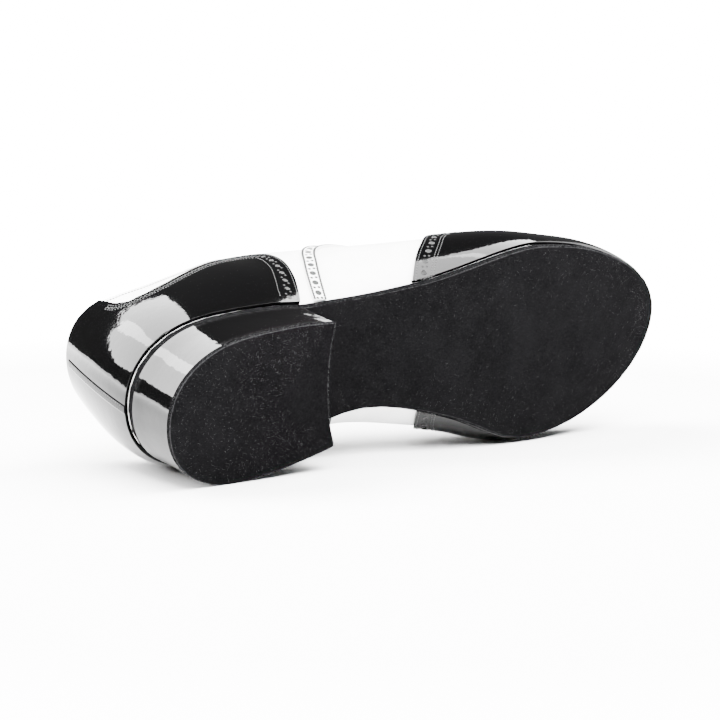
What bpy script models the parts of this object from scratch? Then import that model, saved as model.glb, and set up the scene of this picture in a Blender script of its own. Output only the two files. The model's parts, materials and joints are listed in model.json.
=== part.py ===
"""A right two-tone ballroom lace-up shoe with a low covered heel, at rest on its medial side."""

import math

import bmesh
import bpy
import numpy as np
from mathutils import Matrix

MM = 0.001

# The last, in millimetres.
LENGTH = 288.0
BALL_WIDTH = 94.0
INSTEP_HEIGHT = 104.0
HEEL_HEIGHT = 20.4
SEAT_RISE = 4.7
TOE_SPRING = 7.4
TREAD = 0.645
BREAST = 0.285
TOE_ASIDE = 0.1124
ARCH_FULLNESS = 3.71

# Thicknesses and clearances.
GAP = 0.3
OVERLAY_GAP = 0.7
TONGUE_GAP = 0.9
SOLE_THICK = 3.6
FEATHER_INSET = 0.6
LIFT_THICK = 2.0
INSOLE_THICK = 2.6
INSOLE_CLEAR = 0.5
WALL = 1.9
OVERLAY_THICK = 1.0
BAND_THICK = 0.7
BAND_WIDTH = 6.4
TONGUE_THICK = 1.8
LACE_RADIUS = 1.1
EYELET_RADIUS = 1.9
EYELET_SETBACK = 5.4

# The heel.
HEEL_TAPER = 1.25
HEEL_WAIST = 0.9
BREAST_HOLLOW = 3.4
BREAST_RAKE = 1.2

# Where the ribs of the upper gather, as shares of the length.
HEEL_CORE = 0.115
TOE_CORE = 0.935

# How far the front seam of each quarter and the lacing reach, as shares of the length.
FACING_TOP = 0.41
THROAT = 0.605
FACING_GAP_TOP = 7.0
FACING_GAP_LOW = 2.6
LACE_ROWS = (0.432, 0.468, 0.504, 0.540, 0.576)
TONGUE_TOP = 0.372
TONGUE_END = 0.64
TONGUE_HALF = 21.0

# Edge of the sole: share along the length, half width to the lateral and medial side as shares of the ball width.
OUTLINE = (
    (0.0171, 0.178, 0.178),
    (0.046, 0.263, 0.263),
    (0.087, 0.318, 0.318),
    (0.140, 0.336, 0.336),
    (0.195, 0.332, 0.332),
    (0.250, 0.317, 0.317),
    (0.290, 0.298, 0.300),
    (0.330, 0.290, 0.283),
    (0.375, 0.287, 0.266),
    (0.430, 0.299, 0.283),
    (0.490, 0.325, 0.335),
    (0.550, 0.368, 0.410),
    (0.610, 0.406, 0.512),
    (0.670, 0.413, 0.581),
    (0.730, 0.384, 0.595),
    (0.790, 0.339, 0.585),
    (0.850, 0.271, 0.547),
    (0.900, 0.195, 0.493),
    (0.940, 0.121, 0.427),
    (0.970, 0.045, 0.354),
    (0.990, -0.036, 0.275),
)

# Crown of the upper: share along the length, height as a share of the instep, then its step to the medial side
# and the lean of the walls below it, both as shares of the ball width.
RIDGE = (
    (0.00, 1.330, 0.000, -0.090),
    (0.10, 1.310, 0.000, -0.050),
    (0.20, 1.250, 0.005, -0.025),
    (0.30, 1.150, 0.020, -0.010),
    (0.40, 1.000, 0.042, 0.000),
    (0.50, 0.825, 0.068, 0.000),
    (0.60, 0.655, 0.098, 0.000),
    (0.70, 0.525, 0.118, 0.000),
    (0.80, 0.430, 0.133, 0.000),
    (0.90, 0.368, 0.138, 0.000),
    (1.00, 0.330, 0.130, 0.000),
)

# Cross sections: share along the length, lateral and medial squareness, lateral and medial swell as shares of
# the ball width, and how low each swell sits.
SECTION = (
    (0.00, 2.10, 2.10, 0.004, 0.004, 3.0, 3.0),
    (0.10, 2.65, 2.10, 0.030, 0.092, 2.4, 2.6),
    (0.25, 2.95, 2.30, 0.091, 0.126, 1.5, 2.6),
    (0.38, 3.05, 2.46, 0.130, 0.160, 1.4, 3.0),
    (0.50, 2.64, 2.43, 0.113, 0.137, 1.5, 3.0),
    (0.60, 2.50, 2.39, 0.064, 0.080, 1.7, 2.6),
    (0.70, 2.32, 2.37, 0.026, 0.036, 2.0, 2.0),
    (0.80, 2.41, 2.42, 0.015, 0.018, 2.0, 2.0),
    (0.90, 2.48, 2.48, 0.015, 0.016, 2.0, 2.0),
    (1.00, 2.53, 2.53, 0.015, 0.015, 2.0, 2.0),
)

# Top line: share along the length, height as a share of the rise from the sole's edge to the crown.
TOPLINE = (
    (0.00, 0.487),
    (0.03, 0.472),
    (0.055, 0.445),
    (0.08, 0.408),
    (0.11, 0.380),
    (0.15, 0.390),
    (0.20, 0.435),
    (0.26, 0.530),
    (0.32, 0.655),
    (0.38, 0.855),
    (0.41, 0.985),
    (0.43, 1.000),
)

# Edge of the sole in section: share of its thickness, how far in.
SOLE_EDGE = (
    (0.00, 1.30),
    (0.14, 0.35),
    (0.45, 0.00),
    (0.80, 0.15),
    (1.00, 0.50),
)

# Rear edge of the winged toe cap: share of the way from sole to crown, share along the length.
WING = (
    (0.00, 0.474, 0.474),
    (0.07, 0.500, 0.501),
    (0.16, 0.534, 0.536),
    (0.25, 0.563, 0.564),
    (0.32, 0.588, 0.588),
    (0.45, 0.628, 0.628),
    (0.62, 0.668, 0.668),
    (0.78, 0.680, 0.680),
    (0.90, 0.664, 0.664),
    (1.00, 0.634, 0.634),
)

# Front edge of the counter: share of its height, share along the length.
COUNTER_FRONT = (
    (0.00, 0.285, 0.285),
    (0.13, 0.298, 0.298),
    (0.27, 0.310, 0.310),
    (0.42, 0.319, 0.319),
    (0.56, 0.325, 0.325),
    (0.75, 0.327, 0.327),
    (0.88, 0.324, 0.324),
    (0.95, 0.316, 0.316),
    (1.00, 0.298, 0.298),
)

# Top edge of the counter: share along the length, height as a share of the rise to the crown.
COUNTER_TOP = (
    (0.0000, 0.476),
    (0.0300, 0.460),
    (0.0500, 0.438),
    (0.0560, 0.424),
    (0.0600, 0.352),
    (0.0670, 0.308),
    (0.0880, 0.280),
    (0.1230, 0.291),
    (0.1630, 0.335),
    (0.2060, 0.390),
    (0.2430, 0.430),
    (0.2840, 0.470),
    (0.3300, 0.475),
)

# Middle of the quarter's front band: share of the rise from sole to crown, share along the length.
BAND = (
    (0.00, 0.324, 0.324),
    (0.06, 0.332, 0.332),
    (0.15, 0.345, 0.345),
    (0.26, 0.363, 0.363),
    (0.33, 0.375, 0.375),
    (0.41, 0.393, 0.393),
    (0.50, 0.420, 0.420),
    (0.62, 0.466, 0.466),
    (0.74, 0.522, 0.522),
    (0.83, 0.568, 0.568),
    (0.885, 0.598, 0.598),
)

UPPER_COLUMNS = (5, 8, 3, 7, 10, 8)
UPPER_ROWS = 13
ROW_CROWDING = 1.35


def table(rows, column):
    """A smooth function through one column of a table, by the table's first column."""
    x = np.array([row[0] for row in rows])
    y = np.array([row[column] for row in rows])
    slope = np.gradient(y, x)

    def value(at):
        at = np.clip(np.asarray(at, float), x[0], x[-1])
        k = np.clip(np.searchsorted(x, at, side="right") - 1, 0, len(x) - 2)
        step = x[k + 1] - x[k]
        t = (at - x[k]) / step
        h1 = t * t * (3 - 2 * t)
        return (
            y[k] * (1 - h1)
            + y[k + 1] * h1
            + step * slope[k] * t * (1 - t) ** 2
            - step * slope[k + 1] * t * t * (1 - t)
        )

    return value


def closed_spline(points):
    """A dense closed cubic curve through the points, with equal steps along it."""
    n = len(points)
    chord = np.hypot(*(np.roll(points, -1, axis=0) - points).T)
    matrix = np.zeros((n, n))
    right = np.zeros((n, 2))
    for i in range(n):
        before = chord[i - 1]
        after = chord[i]
        matrix[i, (i - 1) % n] = after
        matrix[i, i] = 2 * (before + after)
        matrix[i, (i + 1) % n] = before
        ahead = (points[(i + 1) % n] - points[i]) / after
        behind = (points[i] - points[i - 1]) / before
        right[i] = 3 * (before * ahead + after * behind)
    tangent = np.linalg.solve(matrix, right)
    pieces = []
    for i in range(n):
        t = np.linspace(0, 1, 80, endpoint=False)[:, None]
        h1 = t * t * (3 - 2 * t)
        start = tangent[i] * chord[i] * t * (1 - t) ** 2
        end = tangent[(i + 1) % n] * chord[i] * t * t * (1 - t)
        pieces.append(points[i] * (1 - h1) + points[(i + 1) % n] * h1 + start - end)
    return np.vstack(pieces)


def both_sides():
    """Lateral and medial edge of the sole from heel to toe, evenly stepped, with outward normals."""
    rows = [(0.0, 0.0)]
    rows += [(x * LENGTH, -lateral * BALL_WIDTH) for x, lateral, _ in OUTLINE]
    rows.append((LENGTH, TOE_ASIDE * BALL_WIDTH))
    rows += [(x * LENGTH, medial * BALL_WIDTH) for x, _, medial in reversed(OUTLINE)]
    curve = closed_spline(np.array(rows))
    toe = (len(OUTLINE) + 1) * 80
    sides = []
    for part in (curve[: toe + 1], np.vstack([curve[toe:], curve[:1]])[::-1]):
        length = np.concatenate([[0], np.cumsum(np.hypot(*np.diff(part, axis=0).T))])
        even = np.linspace(0, length[-1], 3001)
        sides.append(np.column_stack([np.interp(even, length, part[:, k]) for k in (0, 1)]))
    ring = np.vstack([sides[0], sides[1][-2:0:-1]])
    run = np.roll(ring, -6, axis=0) - np.roll(ring, 6, axis=0)
    normal = np.column_stack([run[:, 1], -run[:, 0]])
    normal /= np.hypot(*normal.T)[:, None]
    if (normal * (ring - ring.mean(axis=0))).sum() < 0:
        normal = -normal
    return ring, normal


RING, RING_NORMAL = both_sides()
RING_STEP = np.linspace(0, 2, len(RING) + 1)


def around(q, inset=0.0):
    """Plan point of the sole's edge and its outward normal. q runs 0 to 1 on the lateral side, 2 to 1 on the medial."""
    q = np.mod(q, 2)
    closed = np.vstack([RING, RING[:1]])
    turned = np.vstack([RING_NORMAL, RING_NORMAL[:1]])
    point = np.stack([np.interp(q, RING_STEP, closed[:, k]) for k in (0, 1)], axis=-1)
    normal = np.stack([np.interp(q, RING_STEP, turned[:, k]) for k in (0, 1)], axis=-1)
    normal /= np.linalg.norm(normal, axis=-1)[..., None]
    return point - normal * np.asarray(inset)[..., None], normal


def sole_z(x):
    """Height of the sole's underside when the shoe stands."""
    x = np.asarray(x, float)
    tread = TREAD * LENGTH
    breast = BREAST * LENGTH
    q = np.clip((tread - x) / (tread - breast), 0, 1)
    waist = HEEL_HEIGHT * (ARCH_FULLNESS * q**2 + (1 - ARCH_FULLNESS) * q**3)
    seat = HEEL_HEIGHT + SEAT_RISE * (breast - x) / breast
    toe = TOE_SPRING * np.clip((x - tread) / (LENGTH - tread), 0, None) ** 2
    return np.where(x < breast, seat, waist + toe)


def feather_z(x):
    return sole_z(x) + SOLE_THICK + GAP


RIDGE_HEIGHT = table(RIDGE, 1)
RIDGE_ASIDE = table(RIDGE, 2)
SQUARE_LATERAL = table(SECTION, 1)
SQUARE_MEDIAL = table(SECTION, 2)
SWELL_LATERAL = table(SECTION, 3)
SWELL_MEDIAL = table(SECTION, 4)
LOW_LATERAL = table(SECTION, 5)
LOW_MEDIAL = table(SECTION, 6)
LEAN = table(RIDGE, 3)


def core(q):
    """The point of the crown that the rib at q runs to."""
    lateral, _ = around(np.minimum(np.mod(q, 2), 2 - np.mod(q, 2)))
    medial, _ = around(2 - np.minimum(np.mod(q, 2), 2 - np.mod(q, 2)))
    x = np.clip((lateral[..., 0] + medial[..., 0]) / 2, HEEL_CORE * LENGTH, TOE_CORE * LENGTH)
    return np.stack([x, RIDGE_ASIDE(x / LENGTH) * BALL_WIDTH], axis=-1)


def side_blend(q):
    """From -1 on the lateral side to 1 on the medial, blended round the heel and round the toe."""
    turn = np.mod(q, 2)
    near = np.clip(np.minimum(turn, 2 - turn) / 0.08, 0, 1) * np.clip(np.abs(turn - 1) / 0.05, 0, 1)
    near = near * near * (3 - 2 * near)
    return np.where(turn < 1, -1.0, 1.0) * near


def squareness(q, along):
    side = side_blend(q)
    return SQUARE_LATERAL(along) * (1 - side) / 2 + SQUARE_MEDIAL(along) * (1 + side) / 2


def skin(q, a):
    """The outside of the upper. a runs from 0 at the sole to a right angle at the crown."""
    q = np.asarray(q, float)
    a = np.asarray(a, float)
    foot, normal = around(q, FEATHER_INSET * np.ones_like(q))
    top = core(q)
    along = foot[..., 0] / LENGTH
    side = side_blend(q)
    swell = SWELL_LATERAL(along) * (1 - side) / 2 + SWELL_MEDIAL(along) * (1 + side) / 2
    rise = np.sin(a)
    low = LOW_LATERAL(along) * (1 - side) / 2 + LOW_MEDIAL(along) * (1 + side) / 2
    peak = (1 / (1 + low)) * (low / (1 + low)) ** low
    out = swell * BALL_WIDTH * rise * np.clip(1 - rise, 0, 1) ** low / peak
    reach = np.clip(np.cos(a), 0, 1) ** (2 / squareness(q, along))
    plan = top + (foot - top) * reach[..., None] + normal * out[..., None]
    x = plan[..., 0]
    plan[..., 1] += LEAN(x / LENGTH) * BALL_WIDTH * rise
    base = feather_z(x)
    crown = RIDGE_HEIGHT(x / LENGTH) * INSTEP_HEIGHT
    return np.concatenate([plan, (base + (crown - base) * rise)[..., None]], axis=-1)


def skin_normal(q, a):
    """Outward unit normal of the skin."""
    q, a = np.broadcast_arrays(np.asarray(q, float), np.asarray(a, float))
    at = np.clip(a, 0.004, math.pi / 2 - 0.03)
    along = skin(q + 0.004, at) - skin(q - 0.004, at)
    up = skin(q, at + 0.004) - skin(q, at - 0.004)
    normal = np.cross(along, up)
    normal /= np.linalg.norm(normal, axis=-1)[..., None]
    point = skin(q, at)
    middle = np.stack([np.clip(point[..., 0], 40, LENGTH - 30), 0 * at, 0 * at + 20], axis=-1)
    flip = np.sign(((point - middle) * normal).sum(axis=-1))
    normal = normal * flip[..., None]
    x = core(q)[..., 0]
    slope = (RIDGE_HEIGHT((x + 1) / LENGTH) - RIDGE_HEIGHT((x - 1) / LENGTH)) * INSTEP_HEIGHT / 2
    crown = np.stack([-slope, 0 * slope, 0 * slope + 1], axis=-1)
    crown /= np.linalg.norm(crown, axis=-1)[..., None]
    share = np.clip((a - (math.pi / 2 - 0.03)) / 0.03, 0, 1)[..., None]
    normal = normal * (1 - share) + crown * share
    return normal / np.linalg.norm(normal, axis=-1)[..., None]


def offset_skin(q, a, out):
    """Points of the skin moved out along its normal, with the lowest row kept level with the sole's edge."""
    q, a = np.broadcast_arrays(np.asarray(q, float), np.asarray(a, float))
    point = skin(q, a) + skin_normal(q, a) * out
    low = a < 1e-6
    point[..., 2] = np.where(low, feather_z(point[..., 0]), point[..., 2])
    return point


def side_share(x):
    """Share of the way round one side at which the sole's edge reaches a share of the length."""
    q = np.linspace(0, 1, 1501)
    lateral, _ = around(q)
    medial, _ = around(2 - q)
    return np.interp(np.asarray(x) * LENGTH, (lateral[:, 0] + medial[:, 0]) / 2, q)


def angle_at_reach(q, distance):
    """The angle at which the rib at q is this far from the crown, in plan."""
    foot, _ = around(q, FEATHER_INSET * np.ones_like(np.asarray(q, float)))
    width = np.linalg.norm(foot - core(q), axis=-1)
    reach = np.clip(distance / width, 0, 1)
    return np.arccos(reach ** (squareness(q, foot[..., 0] / LENGTH) / 2))


def even_rows(q, low, high, rows):
    """Angles that cut the rib at q into equal lengths between two angles."""
    share = np.linspace(0, 1, 160)
    share = 1 - (1 - share) ** 1.6
    a = low + (high - low) * share
    points = skin(np.full_like(a, q), a)
    length = np.concatenate([[0], np.cumsum(np.linalg.norm(np.diff(points, axis=0), axis=1))])
    return np.interp(np.linspace(0, 1, rows + 1) ** ROW_CROWDING * length[-1], length, a)


def facing_gap(x):
    """Half the gap between the facings at a share of the length."""
    t = np.clip((x - FACING_TOP) / (THROAT - FACING_TOP), 0, 1)
    return FACING_GAP_TOP + (FACING_GAP_LOW - FACING_GAP_TOP) * t


TOP_SHARE = table(TOPLINE, 1)


def top_angle(q):
    """The angle at which the upper ends on the rib at q."""
    turn = float(np.mod(q, 2))
    own = min(turn, 2 - turn)
    lateral, _ = around(own)
    medial, _ = around(2 - own)
    x = float((lateral[0] + medial[0]) / 2 / LENGTH)
    if x >= THROAT:
        return math.pi / 2
    a = math.asin(min(1.0, float(TOP_SHARE(x))))
    if x > FACING_TOP - 0.03:
        a = min(a, float(angle_at_reach(q, facing_gap(max(x, FACING_TOP)))))
    return a


def weld(points, faces):
    """Drops repeated points and collapsed faces."""
    key = {}
    index = []
    kept = []
    for point in points:
        name = tuple(np.round(point, 4))
        if name not in key:
            key[name] = len(kept)
            kept.append(tuple(float(c) for c in point))
        index.append(key[name])
    done = []
    for face in faces:
        ring = []
        for corner in face:
            corner = index[corner]
            if corner not in ring:
                ring.append(corner)
        if len(ring) > 2:
            done.append(ring)
    used = sorted({corner for ring in done for corner in ring})
    new = {old: k for k, old in enumerate(used)}
    return [kept[old] for old in used], [[new[corner] for corner in ring] for ring in done]


def solid(name, points, faces, collection, material, flat=False):
    """A closed mesh object, in metres, with outward faces."""
    points, faces = weld(points, faces)
    mesh = bpy.data.meshes.new(name)
    mesh.from_pydata([tuple(c * MM for c in point) for point in points], [], faces)
    work = bmesh.new()
    work.from_mesh(mesh)
    bmesh.ops.recalc_face_normals(work, faces=work.faces)
    if work.calc_volume(signed=True) < 0:
        bmesh.ops.reverse_faces(work, faces=work.faces)
    for edge in work.edges:
        edge.smooth = len(edge.link_faces) == 2 and edge.calc_face_angle(0.0) < math.radians(38)
    for face in work.faces:
        face.smooth = not flat
    work.to_mesh(mesh)
    work.free()
    mesh.materials.append(material)
    obj = bpy.data.objects.new(name, mesh)
    collection.objects.link(obj)
    return obj


def grid_faces(columns, rows, start=0, closed=False):
    """Quads over a grid of points stored column by column."""
    faces = []
    for i in range(columns if closed else columns - 1):
        j = (i + 1) % columns
        for k in range(rows - 1):
            a = start + i * rows + k
            b = start + j * rows + k
            faces.append((a, b, b + 1, a + 1))
    return faces


def sheet_solid(name, q, a, inner, outer, collection, material, closed=False):
    """A solid between two offsets of the skin over a grid of q and a, with walls on its open sides."""
    columns, rows = q.shape
    low = offset_skin(q, a, inner).reshape(-1, 3)
    high = offset_skin(q, a, outer).reshape(-1, 3)
    n = len(low)
    faces = grid_faces(columns, rows, 0, closed) + grid_faces(columns, rows, n, closed)
    for i in range(columns if closed else columns - 1):
        j = (i + 1) % columns
        for k in (0, rows - 1):
            a0 = i * rows + k
            b0 = j * rows + k
            faces.append((a0, b0, n + b0, n + a0))
    if not closed:
        for i in (0, columns - 1):
            for k in range(rows - 1):
                a0 = i * rows + k
                faces.append((a0, a0 + 1, n + a0 + 1, n + a0))
    points = np.vstack([low, high])
    points, faces = zip_crown(points, faces)
    return solid(name, points, faces, collection, material)


def zip_crown(points, faces):
    """Joins points that the two sides share and drops walls that lie inside the joined crown."""
    key = {}
    index = []
    for point in points:
        index.append(key.setdefault(tuple(np.round(point, 3)), len(index)))
    count = {}
    for face in faces:
        name = tuple(sorted({index[corner] for corner in face}))
        count[name] = count.get(name, 0) + 1
    kept = []
    for face in faces:
        name = tuple(sorted({index[corner] for corner in face}))
        if count[name] == 1:
            kept.append([index[corner] for corner in face])
    return points, kept


def side_columns(marks, count):
    """Steps from heel to toe along one side that hit every mark."""
    marks = sorted(marks)
    steps = []
    for start, end in zip(marks[:-1], marks[1:]):
        n = max(1, round((end - start) * count))
        steps += list(np.linspace(start, end, n, endpoint=False))
    return steps + [marks[-1]]


def make_upper(collection, material):
    marks = [0.0, 0.06, FACING_TOP - 0.03, FACING_TOP, THROAT, 0.90]
    marks = [float(side_share(x)) for x in marks] + [1.0]
    own = [1.0]
    for start, end, count in reversed(list(zip(marks[:-1], marks[1:], UPPER_COLUMNS))):
        own = list(np.linspace(start, end, count, endpoint=False)) + own
    q = own + [2 - s for s in reversed(own[1:-1])]
    columns = np.array(q)[:, None] * np.ones(UPPER_ROWS + 1)
    a = np.array([even_rows(s, 0.0, top_angle(s), UPPER_ROWS) for s in q])
    upper = sheet_solid("upper", columns, a, -WALL, 0.0, collection, material, closed=True)
    return upper


def make_toe_cap(collection, material):
    rows = 11
    half = 16
    lateral = table(WING, 1)
    medial = table(WING, 2)
    levels = np.linspace(0, 1, rows + 1)
    q = np.zeros((2 * half + 1, rows + 1))
    a = np.zeros_like(q)
    for k, level in enumerate(levels):
        share = level**1.45
        start = float(side_share(lateral(share)))
        end = float(side_share(medial(share)))
        t = 1 - (1 - np.linspace(0, 1, half + 1)) ** 1.12
        line = np.concatenate([start + (1 - start) * t, 2 - (end + (1 - end) * t[-2::-1])])
        q[:, k] = line
        a[:, k] = share * math.pi / 2
    return sheet_solid("toe_cap", q, a, OVERLAY_GAP, OVERLAY_GAP + OVERLAY_THICK, collection, material)


def make_counter(collection, material):
    rows = 8
    half = 15
    lateral = table(COUNTER_FRONT, 1)
    medial = table(COUNTER_FRONT, 2)
    top = table(COUNTER_TOP, 1)
    back = float(side_share(0.07))
    q = np.zeros((2 * half + 1, rows + 1))
    a = np.zeros_like(q)
    for k, level in enumerate(np.linspace(0, 1, rows + 1)):
        start = float(side_share(lateral(level**1.25)))
        end = float(side_share(medial(level**1.25)))
        near = half // 2 + 1
        one = np.concatenate([np.linspace(0, back, near, endpoint=False), np.linspace(back, start, half + 1 - near)])
        two = np.concatenate([np.linspace(0, back, near, endpoint=False), np.linspace(back, end, half + 1 - near)])
        q[:, k] = np.concatenate([one[::-1], -two[1:]])
        for i, s in enumerate(q[:, k]):
            own = min(np.mod(s, 2), 2 - np.mod(s, 2))
            x = float(around(own)[0][0]) / LENGTH
            a[i, k] = level**1.25 * math.asin(float(top(x)))
    return sheet_solid("heel_counter", q, a, OVERLAY_GAP, OVERLAY_GAP + OVERLAY_THICK, collection, material)


def beside(q, a, distance):
    """The (q, a) that lie a distance to one side of a path over the skin."""
    step = 0.002
    middle = skin(q, a)
    per_q = (skin(q + step, a) - skin(q - step, a)) / (2 * step)
    per_a = (skin(q, a + step) - skin(q, np.maximum(a - step, 0))) / (a + step - np.maximum(a - step, 0))[:, None]
    run = np.gradient(middle, axis=0)
    run /= np.linalg.norm(run, axis=1)[:, None]
    across = np.cross(skin_normal(q, a), run)
    moves = []
    for i in range(len(q)):
        basis = np.column_stack([per_q[i], per_a[i]])
        moves.append(np.linalg.lstsq(basis, across[i] * distance, rcond=None)[0])
    moves = np.array(moves)
    moves[0, 1] = 0.0
    return q + moves[:, 0], np.maximum(a + moves[:, 1], 0.0)


def make_band(name, side, collection, material):
    """A narrow strip laid over the skin along the front edge of a quarter."""
    steps = 20
    path = table(BAND, 1 if side > 0 else 2)
    t = np.linspace(0, BAND[-1][0], steps + 1)
    own = side_share(path(t))
    q = own if side > 0 else 2 - own
    a = np.arcsin(t)
    lines = [beside(q, a, BAND_WIDTH * half) for half in (-0.5, 0.0, 0.5)]
    grid_q = np.stack([line[0] for line in lines], axis=1)
    grid_a = np.stack([line[1] for line in lines], axis=1)
    return sheet_solid(name, grid_q, grid_a, OVERLAY_GAP, OVERLAY_GAP + BAND_THICK, collection, material)


def make_tongue(collection, material):
    across = 8
    columns = 14
    own = side_share(np.linspace(TONGUE_TOP, TONGUE_END, columns))
    inner = -(WALL + TONGUE_GAP + TONGUE_THICK)
    outer = -(WALL + TONGUE_GAP)
    q = np.zeros((columns, across + 1))
    a = np.zeros_like(q)
    for i, s in enumerate(own):
        ends = min(1.0, 0.72 + 0.14 * i)
        for k, c in enumerate(np.linspace(-1, 1, across + 1)):
            q[i, k] = s if c <= 0 else 2 - s
            a[i, k] = float(angle_at_reach(q[i, k], abs(c) * TONGUE_HALF * ends))
    return sheet_solid("tongue", q, a, inner, outer, collection, material)


def plate(name, levels, caps, collection, material):
    """A solid from stacked rings, each given as matching lateral and medial runs, with a cap at each end."""
    points = []
    faces = []
    count = len(levels[0][0])
    for lateral, medial in levels:
        points += list(lateral) + list(medial)
    for h in range(len(levels) - 1):
        base = h * 2 * count
        above = base + 2 * count
        for start in (0, count):
            for i in range(count - 1):
                a = base + start + i
                b = above + start + i
                faces.append((a, a + 1, b + 1, b))
        for i in (0, count - 1):
            faces.append((base + i, base + count + i, above + count + i, above + i))
    for level, inside in ((0, caps[0]), (len(levels) - 1, caps[1])):
        lateral, medial = levels[level]
        across = inside.shape[1] - 1
        start = len(points)
        points += list(inside.reshape(-1, 3))
        faces += grid_faces(count, across + 1, start)
    return points, faces, count


def cap_points(lateral, medial, across, height, hollow=None):
    """A grid of points between two runs, at the height given by their place along the shoe."""
    share = np.linspace(0, 1, across + 1)
    grid = lateral[:, None, :] * (1 - share)[None, :, None] + medial[:, None, :] * share[None, :, None]
    if hollow is not None:
        grid[..., 0] -= hollow[:, None] * (1 - (2 * share - 1) ** 2)[None, :]
    grid[:, 1:-1, 2] = height(grid[:, 1:-1, 0])
    return grid


def runs(own, inset, height, to_toe=True):
    """Lateral and medial runs of the sole's edge, moved in and set at a height."""
    lateral, _ = around(own, inset * np.ones_like(own))
    medial, _ = around(2 - own, inset * np.ones_like(own))
    sides = []
    for plan in (lateral, medial):
        sides.append(np.column_stack([plan, height(plan[:, 0])]))
    sides[1][0] = sides[0][0]
    if to_toe:
        sides[1][-1] = sides[0][-1]
    return sides


def make_outsole(collection, material):
    own = np.array(side_columns([0.0, float(side_share(BREAST)), float(side_share(0.9)), 1.0], 36))
    levels = []
    for share, inset in SOLE_EDGE:
        levels.append(runs(own, inset, lambda x, share=share: sole_z(x) + share * SOLE_THICK))
    caps = [
        cap_points(*levels[0], 4, sole_z),
        cap_points(*levels[-1], 2, lambda x: sole_z(x) + SOLE_THICK),
    ]
    points, faces, _ = plate("outsole", levels, caps, collection, material)
    return solid("outsole", points, faces, collection, material)


def make_insole(collection, material):
    own = np.array(side_columns([0.0, 0.9, 1.0], 30))
    inset = FEATHER_INSET + WALL + INSOLE_CLEAR
    levels = []
    for share, more in ((0.0, 0.3), (0.3, 0.0), (1.0, 0.2)):
        levels.append(runs(own, inset + more, lambda x, share=share: feather_z(x) + share * INSOLE_THICK))
    caps = [
        cap_points(*levels[0], 2, feather_z),
        cap_points(*levels[-1], 2, lambda x: feather_z(x) + INSOLE_THICK),
    ]
    points, faces, _ = plate("insole", levels, caps, collection, material)
    return solid("insole", points, faces, collection, material)


def make_heel_piece(name, rows, low, high, collection, material):
    levels = []
    across = 6
    end = float(side_share(BREAST))
    own = np.concatenate([np.linspace(0, 0.45, 10, endpoint=False), np.linspace(0.45, 1, 7)])
    fade = np.clip((own - 0.7) / 0.3, 0, 1) ** 1.5
    for share, inset, rake in rows:
        def height(x, share=share):
            return low(x) + share * (high(x) - low(x))

        lateral, medial = runs(own * end, inset, height, to_toe=False)
        medial[-1][2] = lateral[-1][2]
        for side in (lateral, medial):
            side[:, 0] -= rake * fade
        medial[-1][0] = lateral[-1][0]
        grid = cap_points(lateral, medial, across, height, fade * BREAST_HOLLOW)
        levels.append(grid)
    count = len(own)
    points = []
    for grid in levels:
        points += list(grid.reshape(-1, 3))
    size = count * (across + 1)
    faces = grid_faces(count, across + 1, 0) + grid_faces(count, across + 1, (len(levels) - 1) * size)
    for h in range(len(levels) - 1):
        base = h * size
        above = base + size
        for k in (0, across):
            for i in range(count - 1):
                a = i * (across + 1) + k
                b = (i + 1) * (across + 1) + k
                faces.append((base + a, base + b, above + b, above + a))
        for k in range(across):
            a = (count - 1) * (across + 1) + k
            faces.append((base + a, base + a + 1, above + a + 1, above + a))
    return solid(name, points, faces, collection, material)


def make_heel(collection, material):
    rows = (
        (0.0, HEEL_TAPER, 0.0),
        (0.3, HEEL_TAPER * 0.9 + 0.25, BREAST_RAKE * 0.3),
        (0.65, HEEL_TAPER * 0.55 + 0.15, BREAST_RAKE * 0.65),
        (1.0, 0.15, BREAST_RAKE),
    )
    return make_heel_piece(
        "heel_block", rows, lambda x: 0 * x + LIFT_THICK + GAP / 3, lambda x: sole_z(x) - GAP / 3, collection, material
    )


def make_lift(collection, material):
    rows = (
        (0.0, HEEL_TAPER + 0.35, 0.3),
        (0.18, HEEL_TAPER, 0.0),
        (1.0, HEEL_TAPER, 0.0),
    )
    return make_heel_piece("top_lift", rows, lambda x: 0 * x, lambda x: 0 * x + LIFT_THICK, collection, material)


def eyelet_places():
    """(q, a) of each eyelet on the lateral and medial facing."""
    places = []
    for x in LACE_ROWS:
        own = float(side_share(x))
        pair = []
        for q in (own, 2 - own):
            pair.append((q, float(angle_at_reach(q, facing_gap(x) + EYELET_SETBACK))))
        places.append(pair)
    return places


def cut_eyelets(upper, cutters, material):
    points = []
    faces = []
    sides = 12
    for pair in eyelet_places():
        for q, a in pair:
            centre = skin(q, a)
            normal = skin_normal(q, a)
            one = np.cross(normal, (1.0, 0.0, 0.0))
            one /= np.linalg.norm(one)
            two = np.cross(normal, one)
            start = len(points)
            for depth in (-WALL - 2.5, 2.5):
                for k in range(sides):
                    angle = 2 * math.pi * k / sides
                    rim = one * math.cos(angle) + two * math.sin(angle)
                    points.append(centre + normal * depth + rim * EYELET_RADIUS)
            faces.append(tuple(start + k for k in range(sides)))
            faces.append(tuple(start + sides + k for k in range(sides)))
            for k in range(sides):
                j = (k + 1) % sides
                faces.append((start + k, start + j, start + sides + j, start + sides + k))
    cutter = solid("eyelet_cutters", points, faces, cutters, material, flat=True)
    cutter.hide_render = True
    cutter.display_type = "WIRE"
    cut = upper.modifiers.new("eyelets", "BOOLEAN")
    cut.operation = "DIFFERENCE"
    cut.solver = "EXACT"
    cut.object = cutter


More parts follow.
